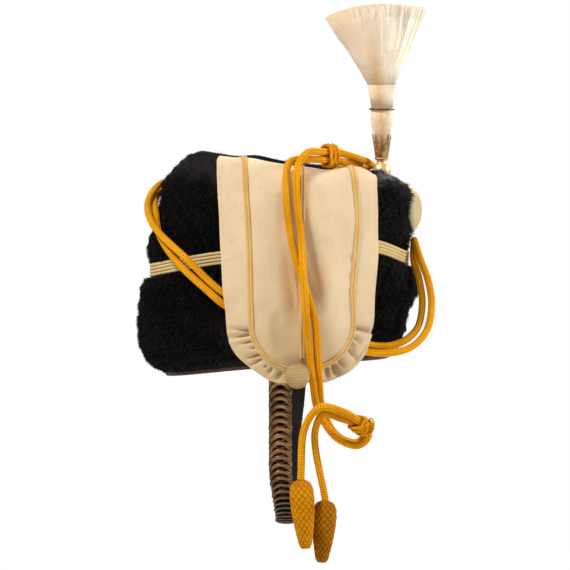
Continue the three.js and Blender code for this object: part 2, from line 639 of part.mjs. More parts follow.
const CORD_B = [
  [123.2, -4, 116], [121.5, -21, 100], [125.5, -35, 84], [128.5, -37, 62], [124, -46, 41], [112, -58, 30],
  [94, -74, 26], [68, -92, 31], [38, -105.6, 41], [0, -112.8, 54.5], [-42, -108.8, 71.5], [-79, -91.5, 103.7],
  [-106, -60, 128.5], [-114.5, -28, 148], [-109.6, 0, 162.9], [-97, 38.8, 171.6], [-61.4, 76.4, 178],
  [0, 93, 181.5], [60, 70, 184.5], [75.5, 20, 185.5], [63, -27, 185.9], [51, -66, 187.3], [39.5, -83, 187.3],
  [27, -91, 187.5], [11.5, -101.5, 185], [8, -109.5, 170], [10.5, -118, 132], [17, -121.8, 101],
  [25, -125, 76],
  [32.5, -125.5, 50], [35.8, -121, 5], [39.5, -111.5, -27], [52, -108, -48.5], [68, -110.5, -54],
  [75, -120.5, -44.5], [64, -130.5, -34.8], [54, -132, -31.3], [40, -131, -27.5], [32.5, -126, -44],
  [41.5, -119.5, -102.5],
];

// A path whose steps are even between its points, so that they lie closer in its tighter bends.
class CordPath extends THREE.CatmullRomCurve3 {
  getUtoTmapping(u) {
    return u;
  }
}
const cordPath = (points) => new CordPath(points.map((p) => point(...p)), false, "centripetal");

function cord(points) {
  const section = Array.from({ length: CORD.sides }, (_, i) =>
    new THREE.Vector2(0, CORD.diameter / 2).rotateAround(new THREE.Vector2(), turn(i + 0.5, CORD.sides)),
  );
  return new THREE.ExtrudeGeometry(new THREE.Shape(section), {
    steps: (points.length - 1) * CORD.stepsPerSpan,
    bevelEnabled: false,
    extrudePath: cordPath(points),
  });
}

// A slider: a knotted ring, thickest at the middle of its length, round the middle of a span of both cords.
function slider({ spanA, spanB, length }) {
  const [pathA, pathB] = [cordPath(CORD_A), cordPath(CORD_B)];
  const [shareA, shareB] = [(spanA + 0.5) / (CORD_A.length - 1), (spanB + 0.5) / (CORD_B.length - 1)];
  const [middleA, middleB] = [pathA.getPoint(shareA), pathB.getPoint(shareB)];
  const middle = middleA.clone().lerp(middleB, 0.5);
  const apart = middleA.sub(middleB);
  const ahead = pathA.getTangent(shareA).add(pathB.getTangent(shareB)).normalize();
  const up = apart.clone().addScaledVector(ahead, -apart.dot(ahead)).normalize();
  const side = ahead.clone().cross(up);
  const reach = CORD.diameter / 2 + SLIDER.room;
  const section = [[0, -0.5], [0.7, -0.42], [1, -0.15], [1, 0.15], [0.7, 0.42], [0, 0.5]];
  return ringSkin(SLIDER.sides, section.length, (i, j) => {
    const [out, share] = section[j];
    const angle = turn(i, SLIDER.sides);
    const wide = reach + out * SLIDER.wall;
    return middle
      .clone()
      .addScaledVector(up, Math.sin(angle) * wide + (Math.sign(Math.sin(angle)) * apart.length()) / 2)
      .addScaledVector(side, Math.cos(angle) * wide)
      .addScaledVector(ahead, share * length);
  });
}

// An acorn: a woven drop, fullest near its top, that hangs from a cord's end towards a lower point.
function acorn(cordPoints, { length, foot }) {
  const top = point(...cordPoints.at(-1));
  const down = point(...foot).sub(top).normalize();
  const profile = [
    [0, 0], [0.35, 0], [0.72, 0.04], [0.93, 0.12], [1, 0.25], [0.96, 0.42], [0.84, 0.62], [0.66, 0.82],
    [0.5, 0.95], [0.38, 0.99], [0, 1],
  ];
  const geometry = turned(
    profile.map(([radius, along]) => [radius * ACORN.radius, ACORN.gap + along * length]),
    ACORN.sides,
  );
  const standing = new THREE.Quaternion().setFromUnitVectors(point(0, 0, 1), down);
  return geometry.applyQuaternion(standing).translate(top.x, top.y, top.z);
}

// Assembly

const group = new THREE.Group();
function add(name, geometry, look) {
  const mesh = new THREE.Mesh(geometry, look);
  mesh.name = name;
  group.add(mesh);
}

add("fur_body", furBody(), BLACK_FUR);
add("leather_body", leatherBody(), BROWN_LEATHER);
add("gimp_band", band(), CREAM_GIMP);
add("bag", bag(), BUFF_CLOTH);
add("edge_braid", edgeBraid(), BRAID_YELLOW);
add("centre_braid", centreBraid(), BRAID_YELLOW);
add("bag_button", button(), CREAM_GIMP);
add("front_boss", boss(), CREAM_GIMP);
add("plume_ball", plumePlaced(plumeBall()), GILT_BRASS);
add("leaf_socket", plumePlaced(leafSocket()), GILT_BRASS);
add("plume_ring", plumePlaced(plumeRing()), OLD_BRASS);
add("hair_cuff", plumePlaced(hairCuff()), WHITE_HAIR);
add("plume_fan", plumePlaced(plumeFan()), WHITE_HAIR);
add("cord_a", cord(CORD_A), CORD_YELLOW);
add("cord_b", cord(CORD_B), CORD_YELLOW);
add("top_slider", slider(TOP_SLIDER), CORD_YELLOW);
add("lower_slider", slider(LOWER_SLIDER), CORD_YELLOW);
add("acorn_a", acorn(CORD_A, ACORN_A), CORD_YELLOW);
add("acorn_b", acorn(CORD_B, ACORN_B), CORD_YELLOW);
add("chin_strap", strap(), BLACK_STRAP);
add("chain_near", chain(0, CHAIN_ENDS.sideLinks), OLD_BRASS);
add("chain_bottom", chain(CHAIN_ENDS.sideLinks, LINKS - CHAIN_ENDS.sideLinks), OLD_BRASS);
add("chain_far", chain(LINKS - CHAIN_ENDS.sideLinks, LINKS), OLD_BRASS);

export default group;
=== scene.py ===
import math

import bpy
import numpy as np
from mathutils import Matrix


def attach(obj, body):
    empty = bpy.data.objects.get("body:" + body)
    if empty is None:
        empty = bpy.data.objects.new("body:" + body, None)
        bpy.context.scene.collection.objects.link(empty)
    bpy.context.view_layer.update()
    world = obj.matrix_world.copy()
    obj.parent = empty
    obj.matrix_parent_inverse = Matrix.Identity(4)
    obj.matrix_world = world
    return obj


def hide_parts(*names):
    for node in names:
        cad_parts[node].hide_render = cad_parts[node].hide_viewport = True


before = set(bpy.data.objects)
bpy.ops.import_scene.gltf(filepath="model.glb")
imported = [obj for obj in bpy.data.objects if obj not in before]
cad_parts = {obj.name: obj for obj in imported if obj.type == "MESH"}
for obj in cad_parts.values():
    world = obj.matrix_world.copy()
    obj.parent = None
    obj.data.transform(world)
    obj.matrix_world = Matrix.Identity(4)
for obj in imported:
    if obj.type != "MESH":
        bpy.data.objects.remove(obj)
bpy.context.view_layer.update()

# The view. The hat is held up in a white studio as a head holds it, and is seen from its right side, from
# 2 m away and a little from above. The backdrop looks whiter than the light that it gives.
VIEW = {"aim": (0.0072, 0.0, 0.0765), "distance": 2.0, "height": math.radians(2), "lens": 140.35,
        "film": 36.0, "near": 0.05, "far": 50.0}
BACKDROP = {"gives": 0.43, "looks": 1.0}
camera = bpy.data.objects.new("camera", bpy.data.cameras.new("camera"))
camera.data.lens, camera.data.sensor_width = VIEW["lens"], VIEW["film"]
camera.data.clip_start, camera.data.clip_end = VIEW["near"], VIEW["far"]
back = np.array([0.0, -math.cos(VIEW["height"]), math.sin(VIEW["height"])])
camera.location = np.array(VIEW["aim"]) + VIEW["distance"] * back
camera.rotation_euler = (math.pi / 2 - VIEW["height"], 0.0, 0.0)
bpy.context.scene.collection.objects.link(camera)
bpy.context.scene.camera = camera
bpy.context.scene.view_settings.view_transform = "Standard"

studio = bpy.data.worlds.new("studio")
studio.use_nodes = True
bpy.context.scene.world = studio
backdrop = studio.node_tree.nodes["Background"]
backdrop.inputs["Color"].default_value = (1.0, 1.0, 1.0, 1.0)
seen = studio.node_tree.nodes.new("ShaderNodeLightPath")
brightness = studio.node_tree.nodes.new("ShaderNodeMapRange")
brightness.inputs["To Min"].default_value = BACKDROP["gives"]
brightness.inputs["To Max"].default_value = BACKDROP["looks"]
studio.node_tree.links.new(seen.outputs["Is Camera Ray"], brightness.inputs["Value"])
studio.node_tree.links.new(brightness.outputs[0], backdrop.inputs["Strength"])

for name, place, size, power in (
    ("key_light", (-1.1, -1.15, 1.9), 0.45, 47.0),
    ("fill_light", (1.92, -0.15, 0.8), 0.6, 31.0),
    ("back_light", (0.6, 1.5, 1.2), 0.8, 16.0),
):  # round area lights that look at the middle of the hat
    lamp = bpy.data.lights.new(name, "AREA")
    lamp.shape, lamp.size, lamp.energy = "DISK", size, power
    holder = bpy.data.objects.new(name, lamp)
    x, y, z = np.array(VIEW["aim"]) - place
    holder.location = place
    holder.rotation_euler = (math.atan2(math.hypot(x, y), -z), 0.0, math.atan2(y, x) - math.pi / 2)
    bpy.context.scene.collection.objects.link(holder)

# The floor: a plain pale sheet of the studio, well below the hat. It belongs to the stage and isn't a
# piece of the hat. Look, the materials of this file, begins here.
FLOOR = {"half": 1.4, "z": -0.42}


class Look:
    """A material of shader nodes. Sockets of its main shader are named in the call."""

    def __init__(self, name, **sockets):
        self.material = bpy.data.materials.new(name)
        self.material.use_nodes = True
        self.tree = self.material.node_tree
        self.wear(**sockets)

    def wear(self, **sockets):
        """Feeds the main shader."""
        named = {key.replace("_", " "): value for key, value in sockets.items()}
        self.feed(self.tree.nodes["Principled BSDF"], named)

    def feed(self, node, inputs):
        """Links each named or numbered input to another node's output, or gives it a value."""
        for key, value in inputs.items():
            if isinstance(value, bpy.types.NodeSocket):
                self.tree.links.new(value, node.inputs[key])
            elif isinstance(value, tuple) and len(value) == 3 and node.inputs[key].type == "RGBA":
                node.inputs[key].default_value = (*value, 1.0)
            else:
                node.inputs[key].default_value = value

    def add(self, kind, inputs=(), out=0, **settings):
        """A new node with these settings and inputs. Gives back one of its outputs."""
        node = self.tree.nodes.new("ShaderNode" + kind)
        for key, value in settings.items():
            setattr(node, key, value)
        self.feed(node, dict(inputs))
        return node.outputs[out]

    def place(self, kind="Object", scale=(1.0, 1.0, 1.0)):
        """The piece's own coordinates, Object or UV, scaled."""
        return self.add("Mapping", {"Vector": self.add("TexCoord", out=kind), "Scale": scale})

    def parts(self, kind="Object"):
        """The piece's own coordinates as single numbers."""
        return self.add("SeparateXYZ", {0: self.place(kind)}).node.outputs[:]

    def noise(self, scale, detail=3.0, rough=0.5, stretch=(1.0, 1.0, 1.0)):
        """Clouds over the piece, this many to the metre. A stretch under 1 draws them out along an axis."""
        inputs = {"Vector": self.place(scale=stretch), "Scale": scale, "Detail": detail, "Roughness": rough}
        return self.add("TexNoise", inputs)

    def sums(self, how, a, b=0.0, c=0.0):
        """One step of arithmetic on up to three values."""
        return self.add("Math", {0: a, 1: b, 2: c}, operation=how)

    def wave(self, value, count=1):
        """A sine that goes round this many times between two whole numbers."""
        return self.sums("SINE", self.sums("MULTIPLY", value, 2 * math.pi * count))

    def spread(self, value, low, high, to_low=0.0, to_high=1.0):
        """The value's stretch from low to high is spread over another stretch, and no further."""
        return self.add("MapRange", {0: value, 1: low, 2: high, 3: to_low, 4: to_high})

    def coat(self, colour, *layers):
        """Colours laid over each other. Each layer is a value, where in it the layer begins and where it is
        full, how much of it then shows, and its colour."""
        for value, begins, full, most, over in layers:
            share = self.spread(value, begins, full, 0.0, most)
            colour = self.add("Mix", {0: share, 6: colour, 7: over}, out=2, data_type="RGBA")
        return colour

    def bump(self, height, depth, strength=1.0, under=None):
        """A relief of this depth in metres, on top of another relief."""
        inputs = {"Height": height, "Distance": depth, "Strength": strength}
        return self.add("Bump", inputs | ({"Normal": under} if under else {}))


floor_look = Look("pale_floor", Roughness=0.85)
grain = floor_look.noise(6.0)
floor_look.wear(Base_Color=floor_look.coat((0.85, 0.85, 0.84), (grain, 0.0, 1.0, 1.0, (0.89, 0.89, 0.88))))
floor_mesh = bpy.data.meshes.new("floor")
corners = np.array([(-1, -1), (1, -1), (1, 1), (-1, 1)]) * FLOOR["half"]
floor_mesh.from_pydata([(x, y, FLOOR["z"]) for x, y in corners.tolist()], [], [(0, 1, 2, 3)])
floor_mesh.materials.append(floor_look.material)
floor = bpy.data.objects.new("floor", floor_mesh)
bpy.context.scene.collection.objects.link(floor)

# The cap lines. Two round cords of knitted yellow yarn run side by side from under the boss, round the
# rear and the left side, over the crown and down over the bag. Each goes up into a loop below the hat,
# through the lower slider, and ends in its own acorn.
CORD = {"diameter": 0.0064, "columns": 8, "around": 16, "step": 0.0008, "stitch": 0.0022, "slant": 0.45}
CORD_A = np.array([
    (0.1223, -0.013, 0.118), (0.127, -0.028, 0.101), (0.1335, -0.038, 0.082), (0.1365, -0.04, 0.062),
    (0.1325, -0.048, 0.04), (0.119, -0.062, 0.0255), (0.098, -0.079, 0.0205), (0.07, -0.0943, 0.0235),
    (0.04, -0.107, 0.033), (-0.008, -0.1133, 0.0475), (-0.042, -0.1095, 0.062), (-0.062, -0.102, 0.078),
    (-0.086, -0.082, 0.0995), (-0.1025, -0.055, 0.1223), (-0.1069, -0.0325, 0.1398),
    (-0.1092, -0.0135, 0.1506), (-0.104, 0.0322, 0.161), (-0.072, 0.078, 0.1655), (-0.012, 0.1, 0.1715),
    (0.055, 0.085, 0.1775), (0.085, 0.046, 0.184), (0.0825, 0.011, 0.187), (0.0665, -0.0325, 0.1912),
    (0.051, -0.066, 0.1944), (0.0395, -0.0835, 0.194), (0.0265, -0.098, 0.193),
    (0.018, -0.1075, 0.1805), (0.017, -0.1125, 0.155), (0.021, -0.1205, 0.119), (0.023, -0.1318, 0.085),
    (0.026, -0.1285, 0.045), (0.0304, -0.1245, 0.002), (0.0355, -0.119, -0.026), (0.052, -0.116, -0.05),
    (0.0695, -0.1195, -0.0555), (0.078, -0.1285, -0.045), (0.068, -0.1365, -0.0325),
    (0.055, -0.138, -0.025), (0.037, -0.137, -0.0215), (0.024, -0.1325, -0.039),
    (0.0205, -0.13, -0.0835),
])
CORD_B = np.array([
    (0.1232, -0.004, 0.116), (0.1215, -0.021, 0.1), (0.1255, -0.035, 0.084), (0.1285, -0.037, 0.062),
    (0.124, -0.046, 0.041), (0.112, -0.058, 0.03), (0.094, -0.074, 0.026), (0.068, -0.092, 0.031),
    (0.038, -0.1056, 0.041), (0, -0.1128, 0.0545), (-0.042, -0.1088, 0.0715), (-0.079, -0.0915, 0.1037),
    (-0.106, -0.06, 0.1285), (-0.1145, -0.028, 0.148), (-0.1096, 0, 0.1629), (-0.097, 0.0388, 0.1716),
    (-0.0614, 0.0764, 0.178), (0, 0.093, 0.1815), (0.06, 0.07, 0.1845), (0.0755, 0.02, 0.1855),
    (0.063, -0.027, 0.1859), (0.051, -0.066, 0.1873), (0.0395, -0.083, 0.1873), (0.027, -0.091, 0.1875),
    (0.0115, -0.1015, 0.185), (0.008, -0.1095, 0.17), (0.0105, -0.118, 0.132), (0.017, -0.1218, 0.101),
    (0.025, -0.125, 0.076), (0.0325, -0.1255, 0.05), (0.0358, -0.121, 0.005), (0.0395, -0.1115, -0.027),
    (0.052, -0.108, -0.0485), (0.068, -0.1105, -0.054), (0.075, -0.1205, -0.0445),
    (0.064, -0.1305, -0.0348), (0.054, -0.132, -0.0313), (0.04, -0.131, -0.0275),
    (0.0325, -0.126, -0.044), (0.0415, -0.1195, -0.1025),
])


def unit(vectors):
    """The same directions, at length 1."""
    return vectors / np.linalg.norm(vectors, axis=-1, keepdims=True)


def full_turn(count):
    """This many even angles round a circle, from 0."""
    return np.linspace(0, 2 * np.pi, count, endpoint=False)


def walked_along(line):
    """How far each point of a line lies from its start, along the line."""
    return np.concatenate([[0], np.cumsum(np.linalg.norm(np.diff(line, axis=0), axis=1))])


def through(points, step):
    """A smooth curve through listed points, at even steps: centripetal Catmull-Rom spans, each a
    cubic between two points whose slopes come from their neighbours and the roots of their distances."""
    ends = np.vstack([2 * points[0] - points[1], points, 2 * points[-1] - points[-2]])
    gaps = np.sqrt(np.linalg.norm(np.diff(ends, axis=0), axis=1))[:, None]
    before, here, after = gaps[:-2], gaps[1:-1], gaps[2:]
    a, b, c, d = ends[:-3], ends[1:-2], ends[2:-1], ends[3:]
    leave = ((b - a) / before - (c - a) / (before + here) + (c - b) / here) * here
    arrive = ((c - b) / here - (d - b) / (here + after) + (d - c) / after) * here
    t = np.linspace(0, 1, 60, endpoint=False)[None, :, None]
    b, c, leave, arrive = b[:, None], c[:, None], leave[:, None], arrive[:, None]
    line = b + leave * t + (3 * (c - b) - 2 * leave - arrive) * t**2 + (2 * (b - c) + leave + arrive) * t**3
    line = np.vstack([line.reshape(-1, 3), points[-1:]])
    walked = walked_along(line)
    even = np.linspace(0, walked[-1], max(2, round(walked[-1] / step) + 1))
    return np.stack([np.interp(even, walked, line[:, k]) for k in range(3)], -1)


def carried(path):
    """Directions square to the path that turn about it as little as they can, station by station."""
    out = [np.array([0.0, 0.0, 1.0])]
    for way in unit(np.gradient(path, axis=0)):
        square = out[-1] - way * (out[-1] @ way)
        out.append(square / np.linalg.norm(square))
    return np.array(out[1:])


def tube(path, out, reach, around, ring=False):
    """A tube round a path: at each station a circle whose radius is reach, a number or rows of numbers."""
    ends = np.roll(path, -1, 0) - np.roll(path, 1, 0) if ring else np.gradient(path, axis=0)
    along = unit(ends)
    side = unit(np.cross(along, out))
    out = np.cross(side, along)
    angle = full_turn(around)[None, :, None]
    reach = np.asarray(reach, float)
    reach = reach[..., None] if reach.ndim == 2 else reach.reshape(-1, 1, 1)
    return path[:, None] + reach * (np.cos(angle) * out[:, None] + np.sin(angle) * side[:, None])


def dressed(mesh, look, node=None):
    """Makes a mesh a smooth object with its material, which rides on the root body and stands for a node."""
    mesh.polygons.foreach_set("use_smooth", np.ones(len(mesh.polygons), bool))
    mesh.materials.append(look.material)
    mesh.update()
    piece = bpy.data.objects.new(mesh.name, mesh)
    bpy.context.scene.collection.objects.link(piece)
    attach(piece, "root")
    if node:
        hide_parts(node)
    return piece


def six_volumes(points, faces):
    """Six times the volume between the origin and each four-sided face, less than 0 where it faces in."""
    a, b, c, d = (points[faces[:, k]] for k in range(4))
    return (a * (np.cross(b, c) + np.cross(c, d))).sum(1)


def skin(name, grid, look, node=None, ring=False, uv=(1.0, 1.0)):
    """A closed body from rows of closed sections, the columns. The rows of a ring meet each other, and
    other bodies are closed at each end by a fan about the middle of the last row. A face's corner (r, c)
    has the UV place (c, r), each times its number in uv."""
    rows, columns = grid.shape[:2]
    r, c = np.broadcast_arrays(np.arange(rows if ring else rows - 1)[:, None], np.arange(columns)[None])
    corner_r = np.stack([r, r, r + 1, r + 1], -1).reshape(-1, 4)
    corner_c = np.stack([c, c + 1, c + 1, c], -1).reshape(-1, 4)
    faces = (corner_r % rows) * columns + corner_c % columns
    points = grid.reshape(-1, 3)
    inward = six_volumes(points, faces).sum() < 0
    sheets = [(faces, np.stack([corner_c, corner_r], -1), inward)]
    if not ring:
        points = np.vstack([points, grid[[0, -1]].mean(1)])
        k = np.arange(columns)
        for end, pole in ((0, rows * columns), (rows - 1, rows * columns + 1)):
            fan = np.stack([end * columns + (k + 1) % columns, end * columns + k, np.full(columns, pole)], -1)
            over = np.stack([np.stack([k + 1, k, k + 0.5], -1), np.full((columns, 3), end)], -1)
            sheets.append((fan, over, (end > 0) != inward))
    sheets = [(f[:, ::-1], spans[:, ::-1]) if flip else (f, spans) for f, spans, flip in sheets]
    mesh = bpy.data.meshes.new(name)
    mesh.from_pydata(points.tolist(), [], [face for faces, _ in sheets for face in faces.tolist()])
    layer = mesh.uv_layers.new(name="UVMap")
    layer.data.foreach_set("uv", np.concatenate([(spans * uv).reshape(-1) for _, spans in sheets]))
    return dressed(mesh, look, node)


def yarn(name, light):
    """A dull material with a little sheen in its own light colour."""
    return Look(name, Roughness=0.9, Sheen_Weight=0.1, Sheen_Tint=(*light, 1.0), Specular_IOR_Level=0.08)


def yarn_look(name, light, dark, deep):
    """Knitted wool: the UV map's U counts rows of V-shaped stitches, and V the stitches along a row. A
    stitch is a slanted wave, and the groove between two rows is deep. Painted shade darkens the low
    parts, the hollows of the stitches and the grooves between rows."""
    look = yarn(name, light)
    across, along, _ = look.parts("UV")
    half = look.sums("ABSOLUTE", look.sums("MULTIPLY_ADD", look.sums("FRACT", across), 2.0, -1.0))
    stitch = look.wave(look.sums("MULTIPLY_ADD", half, CORD["slant"], along))
    groove = look.sums("MULTIPLY", look.sums("POWER", half, 3.0), -1.0)
    height = look.sums("ADD", look.sums("MULTIPLY_ADD", stitch, 0.5, 0.5), groove)
    fibres = look.noise(2600.0, 2.0)
    # painted shade: the deep colour fills the low parts of the stitches and the grooves between rows
    colour = look.coat(light, (look.noise(42.0, 4.0), 0.35, 0.68, 1.0, dark),
                       (height, 0.35, -0.6, 0.85, deep), (fibres, 0.3, 0.7, 0.25, dark))
    look.wear(Base_Color=colour, Normal=look.bump(height, 0.0003, 1.0, look.bump(fibres, 0.0002, 0.5)))
    return look


cord_look = yarn_look("cap_line_yarn", (0.93, 0.42, 0.01), (0.74, 0.29, 0.003), (0.26, 0.08, 0.001))


def cap_line(name, points):
    """A knitted cord: rows of V-shaped stitches lie side by side round it, and each stitch is a low
    ridge that slants away from the middle of its row. Gives back the piece and its centreline."""
    path = through(points, CORD["step"])
    row = np.arange(CORD["around"])[None, :] * CORD["columns"] / CORD["around"]
    half = np.abs(2 * (row % 1) - 1)
    stitch = np.arange(len(path))[:, None] * CORD["step"] / CORD["stitch"]
    ridge = 0.5 + 0.5 * np.sin(2 * np.pi * (stitch + CORD["slant"] * half))
    reach = CORD["diameter"] / 2 * (1.03 - 0.1 * half**3 - 0.05 * (1 - ridge))
    grid = tube(path, carried(path), reach, CORD["around"])
    uv = (CORD["columns"] / CORD["around"], CORD["step"] / CORD["stitch"])
    return skin(name.replace("cord", "cap_line"), grid, cord_look, name, uv=uv), path


cord_a, path_a = cap_line("cord_a", CORD_A)
cord_b, path_b = cap_line("cord_b", CORD_B)

# The sliders, the knots that hold the cap lines together: each is a Turk's head, one thin cord that runs
# five times round both lines and crosses itself over and under. A loop of loose thread stands out of
# the lower one.
KNOT = {"leads": 5, "bights": 4, "cord": 0.0014, "weave": 0.0007, "steps": 480, "around": 7}
THREAD = {"middle": (0.079, -0.1375, -0.037), "across": (0.0027, -0.0006, -0.0017),
          "along": (0.0012, 0.0006, 0.0058), "radius": 0.00055}


def between(span_a, span_b, onward):
    """A place on both cords, onward steps past the middle of a span: its place, the way along, the way from
    b to a and their distance."""
    middles, ways = [], []
    for points, path, span in ((CORD_A, path_a, span_a), (CORD_B, path_b, span_b)):
        at = np.linalg.norm(path - points[span : span + 2].mean(0), axis=1).argmin() + onward
        middles.append(path[at])
        ways.append(unit(path[at + 1] - path[at - 1]))
    ahead = unit(ways[0] + ways[1])
    apart = middles[0] - middles[1]
    up = unit(apart - ahead * (apart @ ahead))
    return (middles[0] + middles[1]) / 2, ahead, up, np.linalg.norm(apart)


def turks_head(name, spans, length, spare, onward=0):
    """The knot's line winds round an oval that holds both cords and waves along it. Between two turning
    points it rises and dips as often as it meets itself. A plain sleeve under it closes the gaps."""
    middle, ahead, up, apart = between(*spans, onward)
    side = np.cross(ahead, up)

    def about(angle, reach, shift):
        """A place on the oval: an angle round it, a reach from the cords' middles, a shift along them."""
        angle, reach, shift = (x[..., None] for x in np.broadcast_arrays(angle, reach, shift))
        stretch = np.tanh(np.sin(angle) * 3) * apart / 2
        return middle + up * (np.sin(angle) * reach + stretch) + side * np.cos(angle) * reach + ahead * shift

    t = full_turn(KNOT["steps"])
    share = (t * KNOT["bights"] / np.pi) % 1
    weave = -np.cos(np.pi * share * KNOT["leads"]) * np.clip(1.6 * np.sin(np.pi * share), 0, 1)
    round_end = 1 - 0.35 * np.cos(KNOT["bights"] * t) ** 4
    reach = CORD["diameter"] / 2 + KNOT["cord"] + KNOT["weave"] * (1.2 + weave) + spare * round_end
    shift = (length / 2 - KNOT["cord"]) * np.cos(KNOT["bights"] * t)
    line = about(KNOT["leads"] * t, reach, shift)
    outward = unit(line - about(KNOT["leads"] * t, 0.0, shift))
    knot = tube(line, outward, KNOT["cord"], KNOT["around"], ring=True)
    piece = skin(name + "_knot", knot, knot_look, name, ring=True, uv=(0.5, 0.45))
    turn = full_turn(16)[None, :]
    reach = CORD["diameter"] / 2 + (KNOT["cord"] + spare) * (1.0 + 0.8 * np.cos(turn))
    sleeve = about(full_turn(48)[:, None], reach, (length / 2 - KNOT["cord"] * 1.2) * np.sin(turn))
    return [piece, skin(name + "_sleeve", sleeve, knot_look, None, ring=True, uv=(0.9, 0.6))]


knot_look = yarn_look("knot_yarn", (0.88, 0.36, 0.006), (0.66, 0.24, 0.002), (0.2, 0.06, 0.001))
top_slider = turks_head("top_slider", (23, 21), 0.0145, 0.0)
lower_slider = turks_head("lower_slider", (35, 34), 0.0135, 0.0003, onward=2)
turn = full_turn(40)[:, None]
loop_line = THREAD["middle"] + THREAD["across"] * np.cos(turn) + THREAD["along"] * np.sin(turn)
loop = tube(loop_line, unit(loop_line - loop_line.mean(0)), THREAD["radius"], 6, ring=True)
thread = skin("loose_thread", loop, cord_look, None, ring=True)

# The acorns: wooden drops covered with a basket weave of the same yarn. Each hangs from its cord's end.
# The right-hand one's yarn is darker all over: painted shade.
ACORN = {"radius": 0.0103, "gap": 0.001, "strands": 12, "turns": 11, "depth": 0.0009, "rows": 130,
         "around": 120}
ACORN_SHAPE = np.array([  # share of the radius, share of the length
    (0.0, 0.0), (0.35, 0.0), (0.72, 0.04), (0.93, 0.12), (1.0, 0.25), (0.96, 0.42), (0.84, 0.62),
    (0.66, 0.82), (0.52, 0.95), (0.36, 1.0), (0.0, 1.0),
])


def acorn(name, cord, lowest, length, look):
    """A turned drop. Strands of yarn run round it both ways and pass over and under each other, so its
    reach rises over the middle of whichever strand is on top. U and V count the strands."""
    top = cord[-1]
    down = unit(np.array(lowest) - top)
    out = unit(np.cross(down, (0.0, 1.0, 0.0)))
    side = np.cross(down, out)
    share = np.linspace(0, 1, ACORN["rows"])
    walked = walked_along(ACORN_SHAPE * (ACORN["radius"], length))
    reach, drop = (np.interp(share, walked / walked[-1], ACORN_SHAPE[:, k]) for k in (0, 1))
    soft = np.array([1, 4, 6, 4, 1]) / 16
    reach = np.convolve(np.pad(reach, 2, mode="reflect", reflect_type="odd"), soft, "valid").clip(0.02)
    angle = full_turn(ACORN["around"])[None, :]
    round_it, along_it = angle / (2 * np.pi) * ACORN["strands"], share[:, None] * ACORN["turns"]
    a, b = round_it + along_it, round_it - along_it
    over = (np.floor(a) + np.floor(b)) % 2 == 0
    swell = np.where(over, np.sin(np.pi * (a % 1)), np.sin(np.pi * (b % 1)))
    depth = ACORN["depth"] * np.clip(reach[:, None] * 1.6, 0, 1)
    radius = ACORN["radius"] * 1.03 * reach[:, None] - depth * (1 - swell**0.7)
    along = ACORN["gap"] * 0.2 + drop[:, None, None] * length
    angle = angle[..., None]
    grid = top + down * along + radius[..., None] * (np.cos(angle) * out + np.sin(angle) * side)
    uv = (ACORN["strands"] / ACORN["around"], ACORN["turns"] / (ACORN["rows"] - 1))
    return skin(name.replace("acorn", "woven_acorn"), grid, look, name, uv=uv)


def woven_look(name, light, dark, deep):
    """The same weave in the material: the strand on top rises and each strand is twisted yarn. Painted
    shade darkens the gaps between strands and the hollows of the twist."""
    look = yarn(name, light)
    across, along, _ = look.parts("UV")
    a, b = look.sums("ADD", across, along), look.sums("SUBTRACT", across, along)
    turns = look.sums("ADD", look.sums("FLOOR", a), look.sums("FLOOR", b))
    under = look.sums("ABSOLUTE", look.sums("MODULO", turns, 2.0))
    top = look.sums("MULTIPLY", look.sums("SUBTRACT", 1.0, under), look.sums("FRACT", a))
    on_top = look.sums("ADD", top, look.sums("MULTIPLY", under, look.sums("FRACT", b)))
    height = look.sums("SINE", look.sums("MULTIPLY", on_top, math.pi))
    strands = look.sums("ADD", across, look.sums("MULTIPLY", on_top, 0.3))
    twist = look.sums("SINE", look.sums("MULTIPLY", strands, 40.0))
    patches, fibres = look.noise(60.0, 4.0), look.noise(2600.0, 2.0)
    # painted shade in the hollows of the twist and in the gaps between strands
    colour = look.coat(light, (patches, 0.35, 0.68, 1.0, dark), (twist, 0.2, -1.0, 0.25, dark),
                       (height, 0.6, 0.0, 0.7, deep))
    fine = look.bump(twist, 0.0001, 0.5, look.bump(fibres, 0.0002, 0.5))
    look.wear(Base_Color=colour, Normal=look.bump(height, 0.0005, 0.8, fine))
    return look


acorn_look = woven_look("acorn_yarn", (0.68, 0.28, 0.003), (0.5, 0.17, 0.001), (0.2, 0.06, 0.0005))
# painted shade: acorn b gets the same yarn in darker colours, for the less light that reaches it
shaded_acorn_look = woven_look("shaded_acorn_yarn", (0.46, 0.17, 0.002), (0.3, 0.1, 0.001), (0.13, 0.035, 0.0005))
acorn_a = acorn("acorn_a", CORD_A, (0.0248, -0.13, -0.1425), 0.058, acorn_look)
acorn_b = acorn("acorn_b", CORD_B, (0.038, -0.1185, -0.16), 0.0525, shaded_acorn_look)

